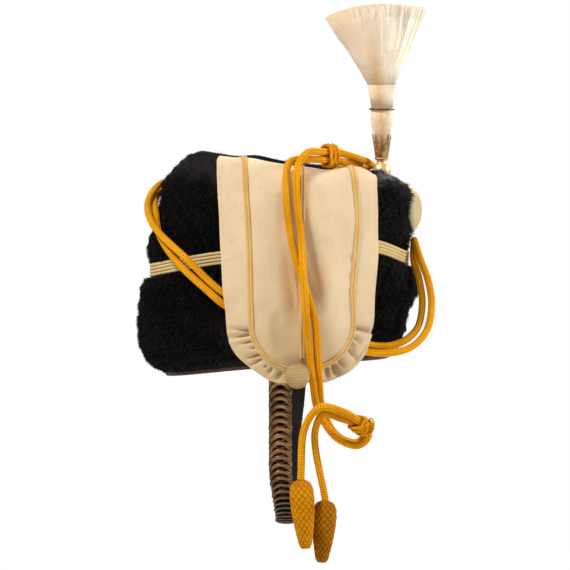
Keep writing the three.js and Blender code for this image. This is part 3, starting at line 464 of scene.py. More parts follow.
# The fur body: short dense black fur on a hide that is stretched over the leather. The gimp band presses
# a groove into it, and so do the cap lines, the boss and the bag. It is a dark skin under many hairs.
DEGREE = np.pi / 180
RIM = {"middle": 0.006, "front": 0.008, "side": 0.005}
BAND = {"middle": 0.0955, "front": 0.0055, "side": 0.012, "width": 0.0124, "thick": 0.0026, "slope": 0.0005,
        "swells": np.array([(-46, 21, 0.0075)]) * (DEGREE, DEGREE, 1)}  # it rises beside the bag's front edge
CREST = {"middle": 0.1815, "front": -0.0055, "side": -0.002, "under_bag": 0.0045}
FUR_ROWS = np.array([  # stretch (0 below the band, 1 above it), share of the stretch, rear, front, side
    (0, 0.0, 103, 103, 86.5), (0, 0.05, 111, 107, 96), (0, 0.14, 119, 112, 103), (0, 0.28, 124, 117, 107),
    (0, 0.48, 125.5, 119, 108.5), (0, 0.72, 125.5, 128.5, 108.5), (0, 0.9, 123.5, 126, 106.5),
    (0, 1.0, 118, 121, 102.5), (0, 1.01, 112, 116.5, 98), (1, -0.01, 112, 116.5, 98),
    (1, 0.0, 115, 118.5, 101.5), (1, 0.1, 117, 120, 104), (1, 0.25, 115.5, 119, 104),
    (1, 0.45, 109, 118.5, 102), (1, 0.65, 105, 118.5, 99.5), (1, 0.82, 99.5, 116.5, 95.5),
    (1, 0.93, 93.5, 110, 90), (1, 1.0, 86.5, 97, 81),
]) * (1, 1, 0.001, 0.001, 0.001)
TOP_ROW = len(FUR_ROWS) - 1.001
TUFTS = np.array([  # way round and width in degrees, and height of the crest's tufts
    (142, 24, 0.0125), (100, 26, 0.0135), (60, 20, 0.0075), (-144, 19, 0.009), (-18, 11, 0.005),
]) * (DEGREE, DEGREE, 1)
FULLER = np.array([  # way round in degrees and height of a fuller spot, its size both ways, how far it swells
    (-11.5, 0.158, 5.7, 0.011, 0.0085), (-11.5, 0.126, 5.7, 0.011, 0.004), (178, 0.167, 13, 0.009, 0.0038),
]) * (DEGREE, 1, DEGREE, 1, 1)


def soft_spots(table, *places, turning=False):
    """Soft rises, added up. A row of the table has the middle along each axis, the size along each axis
    and the height, and falls off as a bell does. With turning, the first axis is an angle round the hat."""
    off = 0.0
    for k, place in enumerate(places):
        away = np.asarray(place)[..., None] - table[:, k]
        if turning and k == 0:
            away = np.arctan2(np.sin(away), np.cos(away))
        off = off + (away / table[:, len(places) + k]) ** 2
    return (table[:, -1] * np.exp(-off)).sum(-1)


def rise(angle, sizes):
    """The height of an edge that goes round the hat: its middle, more to the front, more at both sides."""
    even = sizes["middle"] + sizes["front"] * np.cos(angle) + sizes["side"] * np.sin(angle) ** 2
    return even + soft_spots(sizes["swells"], angle, turning=True) if "swells" in sizes else even


def crest(angle):
    """The fur's upper edge. Under the bag it is lower, by the cube of how far the angle faces the bag."""
    return rise(angle, CREST) - CREST["under_bag"] * np.clip(-np.sin(angle), 0, None) ** 3


def oval(angle, length, width, z):
    """Places on an oval: the cosine of the angle times its length, the sine times its width, and z."""
    return np.stack(np.broadcast_arrays(np.cos(angle) * length, np.sin(angle) * width, z), -1)


def eased(value, low, high):
    """Goes from 0 at low to 1 at high, slowly at both ends: three squares less two cubes of the share."""
    t = np.clip((value - low) / (high - low), 0, 1)
    return t * t * (3 - 2 * t)


def fur_form(angle, row):
    """The outer form of the fur. At each fractional row of the table the section is an oval whose front
    and rear reach differ, and its height lies between the edges that its stretch runs between."""
    angle, row = np.broadcast_arrays(angle, row)
    low = np.clip(np.floor(row).astype(int), 0, len(FUR_ROWS) - 2)
    share = (row - low)[..., None]
    tufts = soft_spots(TUFTS, angle, turning=True)

    def at(index):
        stretch, part, rear, front, side = np.moveaxis(FUR_ROWS[index], -1, 0)
        edge = BAND["width"] / 2 + BAND["slope"]
        start = np.where(stretch == 0, rise(angle, RIM), rise(angle, BAND) + edge)
        end = np.where(stretch == 0, rise(angle, BAND) - edge, crest(angle))
        reach = np.where(np.cos(angle) > 0, front, rear)
        share_up = np.clip((part - 0.9) / 0.1, 0, 1) * stretch
        z = start + (end - start) * part + tufts * eased(share_up, 0, 1)
        return oval(angle, reach, side, z)

    return at(low) * (1 - share) + at(low + 1) * share


def form_normal(form, a, b, step=1e-3):
    """The way out of a surface of two parameters, square to its two slopes."""
    slope_a = form(a + step, b) - form(a - step, b)
    slope_b = form(a, b + step) - form(a, b - step)
    return unit(np.cross(slope_a, slope_b))


def lumps(angle, row, depth=0.0009):
    """The soft unevenness of fur that has been handled: waves of several lengths, added up. The fur also
    swells out at a few spots, as over the boss's right side."""
    wave = np.sin(5 * angle + 1.1 * row + 1) + np.sin(11 * angle - 1.7 * row + 4)
    wave = wave + np.sin(17 * angle + 0.9 * row) + np.sin(1.9 * row + 3 * np.sin(7 * angle))
    wave = depth * wave / 1.6
    return wave + soft_spots(FULLER, angle, fur_form(angle, row)[..., 2], turning=True)


fur_look = Look("black_fur", Specular_IOR_Level=0.12)
streaks = fur_look.noise(1.0, 2.0, stretch=(900.0, 900.0, 160.0))
patches = fur_look.noise(55.0, 4.0)
black = fur_look.coat((0.002, 0.0013, 0.001), (patches, 0.4, 0.7, 1.0, (0.008, 0.0055, 0.0045)),
                      (streaks, 0.45, 0.75, 0.6, (0.013, 0.01, 0.009)))
fur_look.wear(Base_Color=black, Roughness=fur_look.spread(streaks, 0.3, 0.7, 0.42, 0.7),
              Normal=fur_look.bump(streaks, 0.0012, 0.8))

HIDE = {"inset": 0.0042, "crest_rise": 0.0033, "around": 200, "rows": 80, "low": (0.1003, 0.0828, 0.0005),
        "high": (0.0845, 0.0685, -0.0015)}  # length, width and height of its edges inside the fur
angle = full_turn(HIDE["around"])[:, None]
row = np.linspace(0, TOP_ROW, HIDE["rows"])[None, :]
inset = HIDE["inset"] - HIDE["crest_rise"] * np.clip((row - 14.5) / 1.5, 0, 1)
outside = fur_form(angle, row) + (lumps(angle, row) - inset)[..., None] * form_normal(fur_form, angle, row)
low_edge = oval(angle, *HIDE["low"][:2], rise(angle, RIM) + HIDE["low"][2])
crest_top = crest(angle) + soft_spots(TUFTS, angle, turning=True)
high_edge = oval(angle, *HIDE["high"][:2], crest_top + HIDE["high"][2])
skin("fur_hide", np.concatenate([low_edge, outside, high_edge], 1), fur_look, "fur_body", ring=True)

chance = np.random.default_rng(11)


def spikes(name, root, tip, width, look, bend=None):
    """Hairs as closed three-sided spikes: a triangle at the root, one at the bend if there is one, and a
    point at the tip. All are made at once from arrays of root, bend and tip points."""
    count = len(root)
    way = unit(tip - root)
    side = unit(np.cross(way, chance.normal(size=(count, 3))))
    corner = full_turn(3)[None, :, None]
    ring = (np.cos(corner) * side[:, None] + np.sin(corner) * np.cross(way, side)[:, None]) * width / 2
    levels = [root[:, None] + ring]
    if bend is not None:
        levels.append(bend[:, None] + ring * 0.7)
    points = np.concatenate([*levels, tip[:, None]], 1)
    k = np.arange(3)
    n = (k + 1) % 3
    top = 3 * (len(levels) - 1)
    faces = [np.array([[0, 2, 1]]), np.stack([k + top, n + top, np.full(3, top + 3)], -1)]
    if bend is not None:
        faces += [np.stack([k, n, n + 3], -1), np.stack([k, n + 3, k + 3], -1)]
    faces = np.concatenate(faces)[None] + np.arange(count)[:, None, None] * points.shape[1]
    mesh = bpy.data.meshes.new(name)
    mesh.from_pydata(points.reshape(-1, 3).tolist(), [], faces.reshape(-1, 3).tolist())
    return dressed(mesh, look, None)


FUR = {"cells": (360, 150), "draw": 0.0006, "off_cord": 0.0004, "reach": 0.02, "block": 4000}
TUFT_WAVES = np.array([(700.0, 300.0, 0.0), (0.0, 650.0, 350.0), (380.0, 0.0, 720.0)])  # turns to the metre
UNDER_BAG = {"side": -0.04, "rear": -0.05, "front": 0.087, "low": -0.002}
LINES = np.vstack([path_a[::4], path_b[::4]])


def scattered(count):
    """Places on the fur's form, evenly over its area: pairs of angle and row."""
    a = np.linspace(0, 2 * np.pi, FUR["cells"][0] + 1)
    b = np.linspace(0.0, TOP_ROW, FUR["cells"][1] + 1)
    grid = fur_form(a[:, None], b[None, :])
    across, up = np.diff(grid, axis=0)[:, :-1], np.diff(grid, axis=1)[:-1]
    area = np.linalg.norm(np.cross(across, up), axis=-1).reshape(-1)
    cell = chance.choice(len(area), count, p=area / area.sum())
    i, j = np.divmod(cell, FUR["cells"][1])
    return a[i] + chance.random(count) * (a[1] - a[0]), b[j] + chance.random(count) * (b[1] - b[0])


def off_lines(points):
    """Distance from each point to the nearest of the cap lines, in blocks of points."""
    found = np.full(len(points), FUR["reach"])
    for start in range(0, len(points), FUR["block"]):
        block = points[start : start + FUR["block"]]
        gap = ((block**2).sum(1)[:, None] + (LINES**2).sum(1)[None] - 2 * block @ LINES.T).clip(0)
        found[start : start + FUR["block"]] = np.sqrt(gap.min(1)).clip(0, FUR["reach"])
    return found


def fur_hairs(count, length, lay, spare):
    """Roots under the form and tips on it. The hairs lie down and to the rear, and those of the crest
    stand up. The tips draw together in tufts, and near the cap lines and under the bag they stay lower."""
    angle, row = scattered(count)
    point, out = fur_form(angle, row), form_normal(fur_form, angle, row)
    down = unit(fur_form(angle, row - 0.01) - fur_form(angle, row + 0.01))
    back = unit(np.cross(down, out))
    down = down * (1 - 2 * np.clip((row - 15.2) / 1.2, 0, 1))[:, None]
    flow = unit(down + back * 0.5 * np.sin(3 * angle + row)[:, None] + chance.normal(0, 0.16, (count, 3)))
    flow -= out * (flow * out).sum(1)[:, None]
    long = chance.uniform(*length, count)[:, None]
    over = lumps(angle, row) + chance.normal(0, 1, count) * spare
    x, y, z = point.T
    covered = (y < UNDER_BAG["side"]) & (z > UNDER_BAG["low"])
    covered &= (x > UNDER_BAG["rear"]) & (x < UNDER_BAG["front"])
    over = np.where(covered, -0.0015, over)
    over = np.where((row > 7.2) & (row < 9.8), -0.001, over)[:, None]
    lay = lay * (1 - 0.7 * np.clip((row - 14.8) / 1.2, 0, 1))[:, None]
    tip = point + out * over + flow * lay
    tip += FUR["draw"] * np.sin((point + out * over) @ TUFT_WAVES)
    root = point - out * long * 0.8 - flow * lay * 0.3
    bend = (root + tip) / 2 + out * long * 0.18
    keep = off_lines(tip) > CORD["diameter"] / 2 + FUR["off_cord"]
    return root[keep], bend[keep], tip[keep]


for name, count, length, width, lay, spare, bent in (
    ("fur_under_a", 29000, (0.004, 0.006), 0.001, 0.002, 0.0002, False),
    ("fur_under_b", 29000, (0.004, 0.006), 0.0009, 0.0028, 0.0002, False),
    ("fur_over_a", 7200, (0.005, 0.007), 0.0008, 0.0036, 0.0002, True),
    ("fur_over_b", 7200, (0.005, 0.007), 0.0007, 0.0046, 0.0004, True),
):
    root, bend, tip = fur_hairs(count, length, lay, spare)
    spikes(name, root, tip, width, fur_look, bend if bent else None)

# The leather body inside the fur: a stiff open cylinder of brown leather, a little narrower at the
# crown. Its lower edge shows below the fur, and its inside is bare.
LEATHER = {"length": 0.0975, "width": 0.08, "wall": 0.0025, "below_fur": 0.0025, "below_crest": 0.009}
LEATHER_TAPER = (0.016, 0.0145)  # how much narrower it is at the crest, along and across
leather_look = Look("worn_leather", Specular_IOR_Level=0.4)
grain = leather_look.add("TexVoronoi", {"Vector": leather_look.place(), "Scale": 620.0}, feature="SMOOTH_F1")
scuffs = leather_look.noise(38.0, 5.0)
tan = leather_look.coat((0.04, 0.015, 0.008), (scuffs, 0.35, 0.7, 1.0, (0.1, 0.042, 0.019)),
                        (grain, 0.6, 0.0, 0.35, (0.02, 0.007, 0.004)))
leather_look.wear(Base_Color=tan, Roughness=leather_look.spread(scuffs, 0.3, 0.7, 0.42, 0.68),
                  Normal=leather_look.bump(grain, 0.0003, 0.6, leather_look.bump(scuffs, 0.001, 0.4)))

angle = full_turn(180)[:, None]
share = np.concatenate([np.linspace(0.004, 0.996, 14), [1.0, 1.0], np.linspace(0.996, 0.004, 14), [0.0, 0.0]])
outward = np.concatenate([np.ones(14), [0.8, 0.2], np.zeros(14), [0.2, 0.8]]) * LEATHER["wall"]
low = rise(angle, RIM) - LEATHER["below_fur"]
z = low + (crest(angle) - LEATHER["below_crest"] - low) * share
up = (z - rise(angle, RIM)) / (crest(angle) - rise(angle, RIM))
wall = oval(angle, LEATHER["length"] + outward - LEATHER_TAPER[0] * up,
            LEATHER["width"] + outward - LEATHER_TAPER[1] * up, z)
skin("leather_shell", wall, leather_look, "leather_body", ring=True)

# The gimp band: four cords of cream gimp laid side by side round the middle of the fur, each one wound
# with a fine twist.
GIMP = {"cords": 4, "per_cord": 5, "around": 460, "winds": 620, "front": 0.1165, "rear": 0.112, "side": 0.098,
        "groove": 0.0009, "back": 0.0003, "margin": 0.0006}


def gimp_look(name, light, dark, grooves=0.0):
    """Gimp: a fine thread wound closely round a core. The UV map's V counts the winds, and its U the cords.
    Painted shade darkens the hollows between the winds and the grooves between the cords."""
    look = Look(name, Roughness=0.85, Specular_IOR_Level=0.12, Sheen_Weight=0.1, Sheen_Tint=(*light, 1.0))
    across, along, _ = look.parts("UV")
    winds = look.wave(look.sums("MULTIPLY_ADD", across, 1.2, along))
    groove = look.sums("ABSOLUTE", look.sums("MULTIPLY_ADD", look.sums("FRACT", across), 2.0, -1.0))
    # painted shade in the hollows between the winds and, by the grooves share, in the grooves between the
    # cords
    colour = look.coat(light, (look.noise(60.0, 5.0), 0.38, 0.72, 1.0, dark),
                       (winds, 0.2, -1.0, 0.6, (0.3, 0.17, 0.06)),
                       (groove, 0.7, 1.0, grooves, (0.16, 0.08, 0.025)))
    fine = look.bump(look.noise(1800.0, 2.0), 0.0001, 0.5)
    look.wear(Base_Color=colour, Normal=look.bump(winds, 0.00022, 0.9, fine))
    return look


band_look = gimp_look("cream_gimp_cord", (1.0, 0.76, 0.35), (0.86, 0.6, 0.23), grooves=0.75)
angle = full_turn(GIMP["around"])[:, None]
across = np.linspace(-0.5, 0.5, GIMP["cords"] * GIMP["per_cord"] + 1)[None]
swell = np.sqrt(np.clip(1 - (2 * ((across + 0.5) * GIMP["cords"] % 1) - 1) ** 2, 0, 1))
swell = np.where(np.abs(across) > 0.499, 0.0, swell)
out = GIMP["groove"] + (BAND["thick"] - GIMP["groove"]) * (0.25 + 0.75 * swell)
out = np.concatenate([out, [[GIMP["back"]] * 2]], 1)
across = np.concatenate([across, [[0.5, -0.5]]], 1)
reach = np.where(np.cos(angle) > 0, GIMP["front"], GIMP["rear"]) + out
band = oval(angle, reach, GIMP["side"] + out, rise(angle, BAND) + across * (BAND["width"] - GIMP["margin"]))
skin("gimp_cords", band, band_look, "gimp_band", ring=True,
     uv=(1 / GIMP["per_cord"], GIMP["winds"] / GIMP["around"]))

# The bag: a flat double bag of buff cloth. It closes the crown, climbs over the fur on the right side
# and hangs down there as a tongue with a round end. Its loose border is gathered at the bends.
BAG_ROWS = np.array([  # y, height above or below the fold, half width, middle
    (62, 0, 33, 0), (57, 0, 45, 0), (46, 0, 61, 0), (28, 0, 75, 0), (8, 0, 82, 0), (-10, 0, 81, 0),
    (-24, 0, 78.5, 0), (-33, 0, 76, 0), (-40, 0, 71.5, 0), (-47, 0, 66, 0), (-55, 0, 61.5, 6.5),
    (-62, 0, 60.5, 13), (-69, 0, 63, 16), (-77, 0.5, 65, 17), (-86, 0, 67, 18), (-93, -2.5, 68, 18),
    (-99, -8, 68, 18), (-103, -16, 68, 18), (-107, -31, 68, 18.5), (-111, -50, 67.5, 19.5),
    (-115, -72, 67, 20), (-119, -94, 65.5, 20), (-122, -114, 64, 20), (-122.5, -130, 62.8, 20.5),
    (-122.5, -145, 61.6, 20.5), (-121.5, -156, 59, 20.5), (-120.5, -165, 54, 21),
    (-119, -173, 46.5, 22), (-118, -180, 37.5, 22.5), (-117, -185, 29, 22), (-117, -188.3, 19, 21),
]) * 0.001
FOOT = len(BAG_ROWS) - 1
FOLD = {"z": 0.1855, "slope": -0.062, "corner": 0.0065, "bow": 0.128, "middle": 0.02}
CROWN = {"above_leather": 0.0039, "sag": 0.005, "length": 0.084, "width": 0.068}
PRESSED = np.array([(37, 24, 6), (5, 13.5, 2)]) * 0.001  # x, width and depth under the cap lines
DENTS = np.array([  # x, z, width, height, depth: the trough that the cap lines press, and its shoulders
    (22, 112, 13, 48, 2.6), (66, 96, 14, 26, 2), (-8, 120, 16, 40, -1.5), (48, 140, 14, 36, -1.5),
]) * 0.001
GATHERS = np.array([  # x and z at the braid and at the border, width above and below, depth
    (-23.5, 41.9, -38, 42.6, 2.2, 0.9, 4.62), (-21.6, 38.0, -39, 35.2, 2.8, 1.1, 6.3),
    (-20.2, 32.4, -31.5, 30.1, 2.2, 0.9, 4.2), (-17.8, 27.3, -22, 26.5, 1.6, 0.9, 3.36),
    (-14.2, 20.9, -24, 18.0, 2.2, 1.0, 5.88), (-12.4, 17.0, -21.5, 12.2, 2.0, 1.0, 5.04),
    (-9.8, 12.6, -9.0, 10.4, 1.4, 1.2, 2.94), (-3.9, 10.4, -6.5, 5.2, 1.6, 1.2, 3.99),
    (4.0, 7.0, 1.0, 1.0, 2.0, 1.6, 4.62), (67.6, 42.9, 81.5, 38.6, 2.8, 0.9, 7.14),
    (65.6, 36.2, 70, 31.0, 2.2, 1.0, 5.04), (63.2, 31.4, 66.2, 26.5, 1.8, 1.0, 4.2),
    (60.9, 26.7, 66.6, 17.6, 2.2, 1.0, 6.09), (52.6, 16.6, 56.5, 10.5, 2.0, 1.0, 4.62),
    (49.0, 12.0, 50.3, 3.4, 2.8, 1.6, 6.3), (43.6, 9.4, 43.4, 2.0, 1.8, 1.2, 4.62),
]) * 0.001
FOLDS = np.array([  # x and z of the upper and lower end, width on the left and on the right, depth
    (11, 160, 17, 96, 9, 12, 2.2), (17.5, 130, 20, 50, 5.5, 14, 6.4), (33, 100, 34, 52, 12, 9, 2.6),
    (6, 64, -4, 42, 4, 7, 1.6), (-4, 52, 6, 20, 4, 8, 1.3), (38, 156, 42, 104, 6, 6, 0.9),
    (58, 104, 70, 100, 3, 3, 0.9), (57, 92, 68, 84, 3, 3, 0.7), (60, 76, 70, 71, 3, 3, 0.7),
    (-47, 92, -30, 84, 4, 4, 0.5), (-45, 68, -28, 62, 4, 4, 0.5), (-34, 166, -6, 177, 6, 6, 0.5),
]) * 0.001
HUNG = (15.5, 18)  # between these rows the cloth goes over from lying to hanging


def row_value(column, row):
    """A column of the bag's table at a fractional row, on a smooth curve through the rows."""
    row = np.asarray(row, float)
    i = np.clip(np.floor(row).astype(int), 0, FOOT - 1)
    t = row - i
    a, b, c, d = (BAG_ROWS[np.clip(i + k, 0, FOOT), column] for k in (-1, 0, 1, 2))
    return b + 0.5 * t * (c - a + t * (2 * a - 5 * b + 4 * c - d + t * (3 * (b - c) + d - a)))


def crown_z(x, y):
    """The crown's cloth lies on the leather's upper edge and sags a little in its middle."""
    out = np.hypot(x / CROWN["length"], y / CROWN["width"])
    angle = np.arctan2(y / CROWN["width"], x / CROWN["length"])
    near = np.minimum(out, 1)
    edge = CREST["middle"] + (crest(angle) - CREST["middle"]) * near
    return edge - LEATHER["below_crest"] + CROWN["above_leather"] - CROWN["sag"] * (1 - near**2)


def valleys(x, z, table):
    """How far along each valley of a table a place lies, as a share of its length, and how far to the
    left of its line, in metres."""
    start, way = table[:, 0:2], table[:, 2:4] - table[:, 0:2]
    place = np.stack([x, z], -1)[..., None, :] - start
    length = np.linalg.norm(way, axis=-1)
    along = (place * way).sum(-1) / length**2
    aside = (way[:, 0] * place[..., 1] - way[:, 1] * place[..., 0]) / length
    return along, aside


def creased(x, z):
    """How deep the cloth is creased at a place. A gather starts sharply at the braid and fades towards
    the border, where its upper side is the gentler one. A fold fades towards both of its ends."""
    along, aside = valleys(x, z, GATHERS)
    above = aside * np.sign(GATHERS[:, 2] - GATHERS[:, 0]) > 0
    width = np.where(above, GATHERS[:, 4], GATHERS[:, 5]) * (1 + 0.5 * np.clip(along, 0, 1))
    fade = eased(along, -0.12, 0.06) * (1 - 0.75 * eased(along, 0.25, 1.25)) * (1 - eased(along, 1.0, 1.5))
    deep = (GATHERS[:, 6] * fade * np.exp(-((aside / width) ** 2))).sum(-1)
    along, aside = valleys(x, z, FOLDS)
    width = np.where(aside > 0, FOLDS[:, 5], FOLDS[:, 4])
    fade = np.sin(np.pi * np.clip(along, 0, 1)) ** 1.3
    return deep + (FOLDS[:, 6] * fade * np.exp(-((aside / width) ** 2))).sum(-1)


def bag_face(u, row):
    """The outer face of the bag: u runs from -1 at its rear edge to 1 at its front edge. It lies on the
    crown, is lifted over the fur, and hangs from the fold in a bow. The rear corner stays tucked in."""
    y_middle, drop, half, centre = (row_value(k, row) for k in range(4))
    x = centre + u * half
    bow = np.sqrt((1 - (x / FOLD["bow"]) ** 2) / (1 - (FOLD["middle"] / FOLD["bow"]) ** 2))
    hanging = eased(-drop, 0, 0.06)
    corner = FOLD["corner"] * eased(u, 0.8, 1) * eased(-y_middle, 0.06, 0.084)
    sunk = FOLD["slope"] * (x - FOLD["middle"]) - corner - soft_spots(PRESSED, x)
    fold = FOLD["z"] + drop + sunk * (1 - hanging)
    y = y_middle * bow + soft_spots(DENTS, x, fold) * hanging
    out = np.hypot(x / CROWN["length"], y / CROWN["width"])
    tucked = eased(-x, 0.044, 0.058) * eased(y + 0.062, 0, 0.01)
    lift = eased(out, 0.76, 1) * eased(-y_middle, 0.024, 0.046) * (1 - tucked)
    flat = crown_z(x, y)
    return np.stack([x, y, flat + (fold - flat) * lift], -1)


def bag_normal(u, row):
    """The way out of the bag's face, square to its slopes across and down."""
    across = bag_face(u + 0.02, row) - bag_face(u - 0.02, row)
    down = bag_face(u, np.minimum(row + 0.02, FOOT)) - bag_face(u, np.maximum(row - 0.02, 0))
    return unit(np.cross(down, across))


def bag_cloth(u, row, gathered=True):
    """The bag's face with its slight unevenness and, where it is gathered, its creases, the line of the
    hem along its border and the ripple of the border."""
    face = bag_face(u, row)
    x, z = face[..., 0], face[..., 2]
    slack = np.sin(90 * x + 60 * z + 1) + np.sin(130 * z - 70 * x) + np.sin(210 * x + 3 * np.sin(50 * z))
    slack = 0.00035 * slack
    if gathered:
        bend = np.exp(-(((z - 0.018) / 0.022) ** 2))
        ripple = 0.0009 * eased(np.abs(u), 0.86, 1.0) * bend * np.sin((x * np.sign(u) - z) * 480)
        hem = (1 - np.abs(u)) * row_value(2, row) - 0.0032
        slack = slack + eased(row, *HUNG) * (ripple - creased(x, z))
        slack = slack - 0.0003 * np.exp(-((hem / 0.0008) ** 2))
    return face + slack[..., None] * bag_normal(u, row)


bag_look = Look("buff_wool", Roughness=0.9, Sheen_Weight=0.25, Sheen_Roughness=0.6, Specular_IOR_Level=0.15)
warp, weft, _ = bag_look.parts("UV")
weave = bag_look.sums("ADD", bag_look.wave(bag_look.sums("ADD", warp, weft), 900), bag_look.wave(warp, 1300))
nap = bag_look.noise(620.0, 4.0)
x, _, z = bag_look.parts()
# painted shade: the cloth is darker towards the bottom and the rear
low_down, rear = bag_look.spread(z, 0.14, 0.0, 0.0, 0.6), bag_look.spread(x, 0.058, 0.01, 0.1, 1.0)
painted_low_shade = bag_look.sums("MULTIPLY", low_down, rear)
colour = bag_look.coat(
    (0.82, 0.62, 0.39),
    (bag_look.noise(28.0, 5.0, 0.6, stretch=(1.0, 1.0, 0.6)), 0.35, 0.7, 1.0, (0.71, 0.52, 0.31)),
    (painted_low_shade, 0.0, 1.0, 1.0, (0.64, 0.44, 0.2)),
    # painted shade: the front half of the bag is darker
    (x, 0.02, 0.06, 0.3, (0.58, 0.43, 0.26)),
    (bag_look.noise(75.0, 4.0, 0.6), 0.52, 0.72, 0.45, (0.62, 0.43, 0.23)),
    (nap, 0.35, 0.65, 0.2, (0.6, 0.42, 0.22)),
)
for spot_x, spot_z, wide, high, share in (  # spots beside the cap lines: dirt where the cords rub, and painted shade in the trough beside them
    (0.012, 0.083, 0.012, 0.042, 0.85), (0.008, 0.13, 0.012, 0.04, 0.25), (0.036, 0.082, 0.012, 0.03, 0.45),
    (0.05, 0.008, 0.012, 0.012, 0.4), (0.006, 0.036, 0.014, 0.022, 0.3),
):
    aside = bag_look.sums("MULTIPLY_ADD", x, 1 / wide, -spot_x / wide)
    above = bag_look.sums("MULTIPLY_ADD", z, 1 / high, -spot_z / high)
    squares = bag_look.sums("MULTIPLY_ADD", aside, aside, bag_look.sums("MULTIPLY", above, above))
    # each spot darkens the cloth: part dirt, part painted shade
    colour = bag_look.coat(colour, (squares, 1.0, 0.0, share, (0.5, 0.3, 0.1)))
bag_look.wear(Base_Color=colour, Normal=bag_look.bump(weave, 0.00008, 0.5, bag_look.bump(nap, 0.0003, 0.5)))

BAG = {"thick": 0.0028, "rows": 250, "front": 160, "back": 40, "edge": 4, "crown_width": 0.164}
share = np.linspace(0, 1, BAG["rows"])
row = np.interp(share, [0, 0.1, 0.24, 0.56, 1], [0, 9.5, 17, 23.2, FOOT])[:, None]
flat, back = np.linspace(-1, 1, BAG["front"]), np.linspace(1, -1, BAG["back"])
bend = (np.arange(BAG["edge"]) + 1) / (BAG["edge"] + 1) * np.pi
u = np.concatenate([flat, 1 + 0 * bend, back, -1 + 0 * bend])[None]
depth = np.concatenate([0 * flat, (1 - np.cos(bend)) / 2, 1 + 0 * back, (1 + np.cos(bend)) / 2])
out = np.concatenate([0 * flat, np.sin(bend), 0 * back, -np.sin(bend)])
depth, out = depth[None, :, None], out[None, :, None]
u, row = np.broadcast_arrays(u, row)
across = unit(bag_face(u * 0 + 1, row) - bag_face(u * 0 - 1, row))
cloth = bag_cloth(u, row) - BAG["thick"] * depth * bag_normal(u, row) + BAG["thick"] * 0.5 * out * across
bag = skin("bag_cloth", cloth, bag_look, "bag", uv=(0.0014, 0.0016))

# The yellow braids sewn on the bag: two thin cords side by side. One runs parallel to the bag's edge and
# round its foot, the other down its middle, and both start on the crown.
BRAID = {"half": 0.00185, "thick": 0.0019, "twist": 0.0024, "step": 0.0012, "raised": 0.0005}
EDGE = {"rear": 0.042, "front": 0.045, "spread": 0.0036, "bend_top": 0.048, "bend_height": 0.04,
        "far_row": 2.6, "bows_out": 0.0035, "bows_in": 0.004}
CENTRE = {"x": 0.022, "far_row": 1.2, "end_z": 0.018}
braid_look = gimp_look("yellow_braid", (0.95, 0.6, 0.22), (0.82, 0.46, 0.13))


def row_at(z):
    """The row of the bag's hanging part at this height."""
    rows = np.arange(12, len(BAG_ROWS))
    return np.interp(FOLD["z"] - np.asarray(z), -BAG_ROWS[rows, 1], rows)


def u_at(x, row):
    """How far across the bag x lies in this row, as a share of the half width from its middle."""
    return (x - row_value(3, row)) / row_value(2, row)


def braid(name, u, row, node):
    """Two round cords along a line of places on the bag. The section is two swells that meet in the
    middle, and it stands half in the cloth and bridges its gathers."""
    steps = np.linspace(0, 1, len(u))
    places = bag_cloth(u, row, gathered=False)
    walked = walked_along(places)
    even = np.interp(np.linspace(0, walked[-1], int(walked[-1] / BRAID["step"])), walked, steps)
    u, row = np.interp(even, steps, u), np.interp(even, steps, row)
    places, out = bag_cloth(u, row, gathered=False), bag_normal(u, row)
    deep = creased(places[:, 0], places[:, 2]) * eased(row, *HUNG)
    bridged = np.convolve(np.pad(deep, 12, mode="edge"), np.hanning(25) / 12, "valid")
    places = places - bridged[:, None] * out
    side = unit(np.cross(np.gradient(places, axis=0), out))
    turn = np.linspace(0, np.pi, 6)
    lobe = np.stack([1 + np.cos(turn), np.sin(turn)], -1)
    section = np.concatenate([lobe, lobe[1:] - (2, 0), [(-2.0, -0.5), (2.0, -0.5)]])
    section = section * (BRAID["half"] / 1.55, BRAID["thick"] / 2.2) + (0, BRAID["raised"])
    grid = places[:, None] + section[None, :, :1] * side[:, None] + section[None, :, 1:] * out[:, None]
    return skin(name, grid, braid_look, node, uv=(0.2, BRAID["step"] / BRAID["twist"] * 2))


last = float(row_at(EDGE["bend_top"]))
side_row = np.linspace(EDGE["far_row"], last, 120, endpoint=False)
spread = EDGE["spread"] * eased(last - side_row, 0, last - float(row_at(FOLD["z"])))
bowed = eased(side_row, 15, 18.5) - eased(side_row, 18.5, 22)
bowed = EDGE["bows_out"] * bowed - EDGE["bows_in"] * (1 - eased(side_row, 12, 16.5))
bend = np.linspace(0, np.pi, 90)
bend_row = row_at(EDGE["bend_top"] - EDGE["bend_height"] * np.sin(bend))
bend_x = (EDGE["front"] - EDGE["rear"]) / 2 - (EDGE["front"] + EDGE["rear"]) / 2 * np.cos(bend)
bend_x = bend_x + row_value(3, last)
edge_u = np.concatenate([
    u_at(row_value(3, side_row) - EDGE["rear"] - spread, side_row),
    u_at(bend_x, bend_row),
    u_at(row_value(3, side_row) + EDGE["front"] + spread + bowed, side_row)[::-1],
])
edge_cords = braid("edge_cords", edge_u, np.concatenate([side_row, bend_row, side_row[::-1]]), "edge_braid")
centre_row = np.linspace(CENTRE["far_row"], float(row_at(CENTRE["end_z"])), 200)
centre_cords = braid("centre_cords", u_at(CENTRE["x"], centre_row), centre_row, "centre_braid")

# The button at the bag's foot: a wooden ball in a net of cream thread, which runs over it from pole to
# pole, each thread crossed by others.
BUTTON = {"place": (0.0176, -0.1296, 0.0042), "radius": 0.0106, "depth": 0.0076, "threads": 26}


def ball(place, radii, rows, columns, relief):
    """Rows of points round an ellipsoid, from near its bottom to near its top. Relief is added to it."""
    polar = np.linspace(0.03, np.pi - 0.03, rows)[:, None]
    angle = full_turn(columns)[None]
    way = oval(angle, np.sin(polar), np.sin(polar), -np.cos(polar))
    return np.array(place) + way * np.array(radii) * (1 + relief(polar, angle))[..., None]


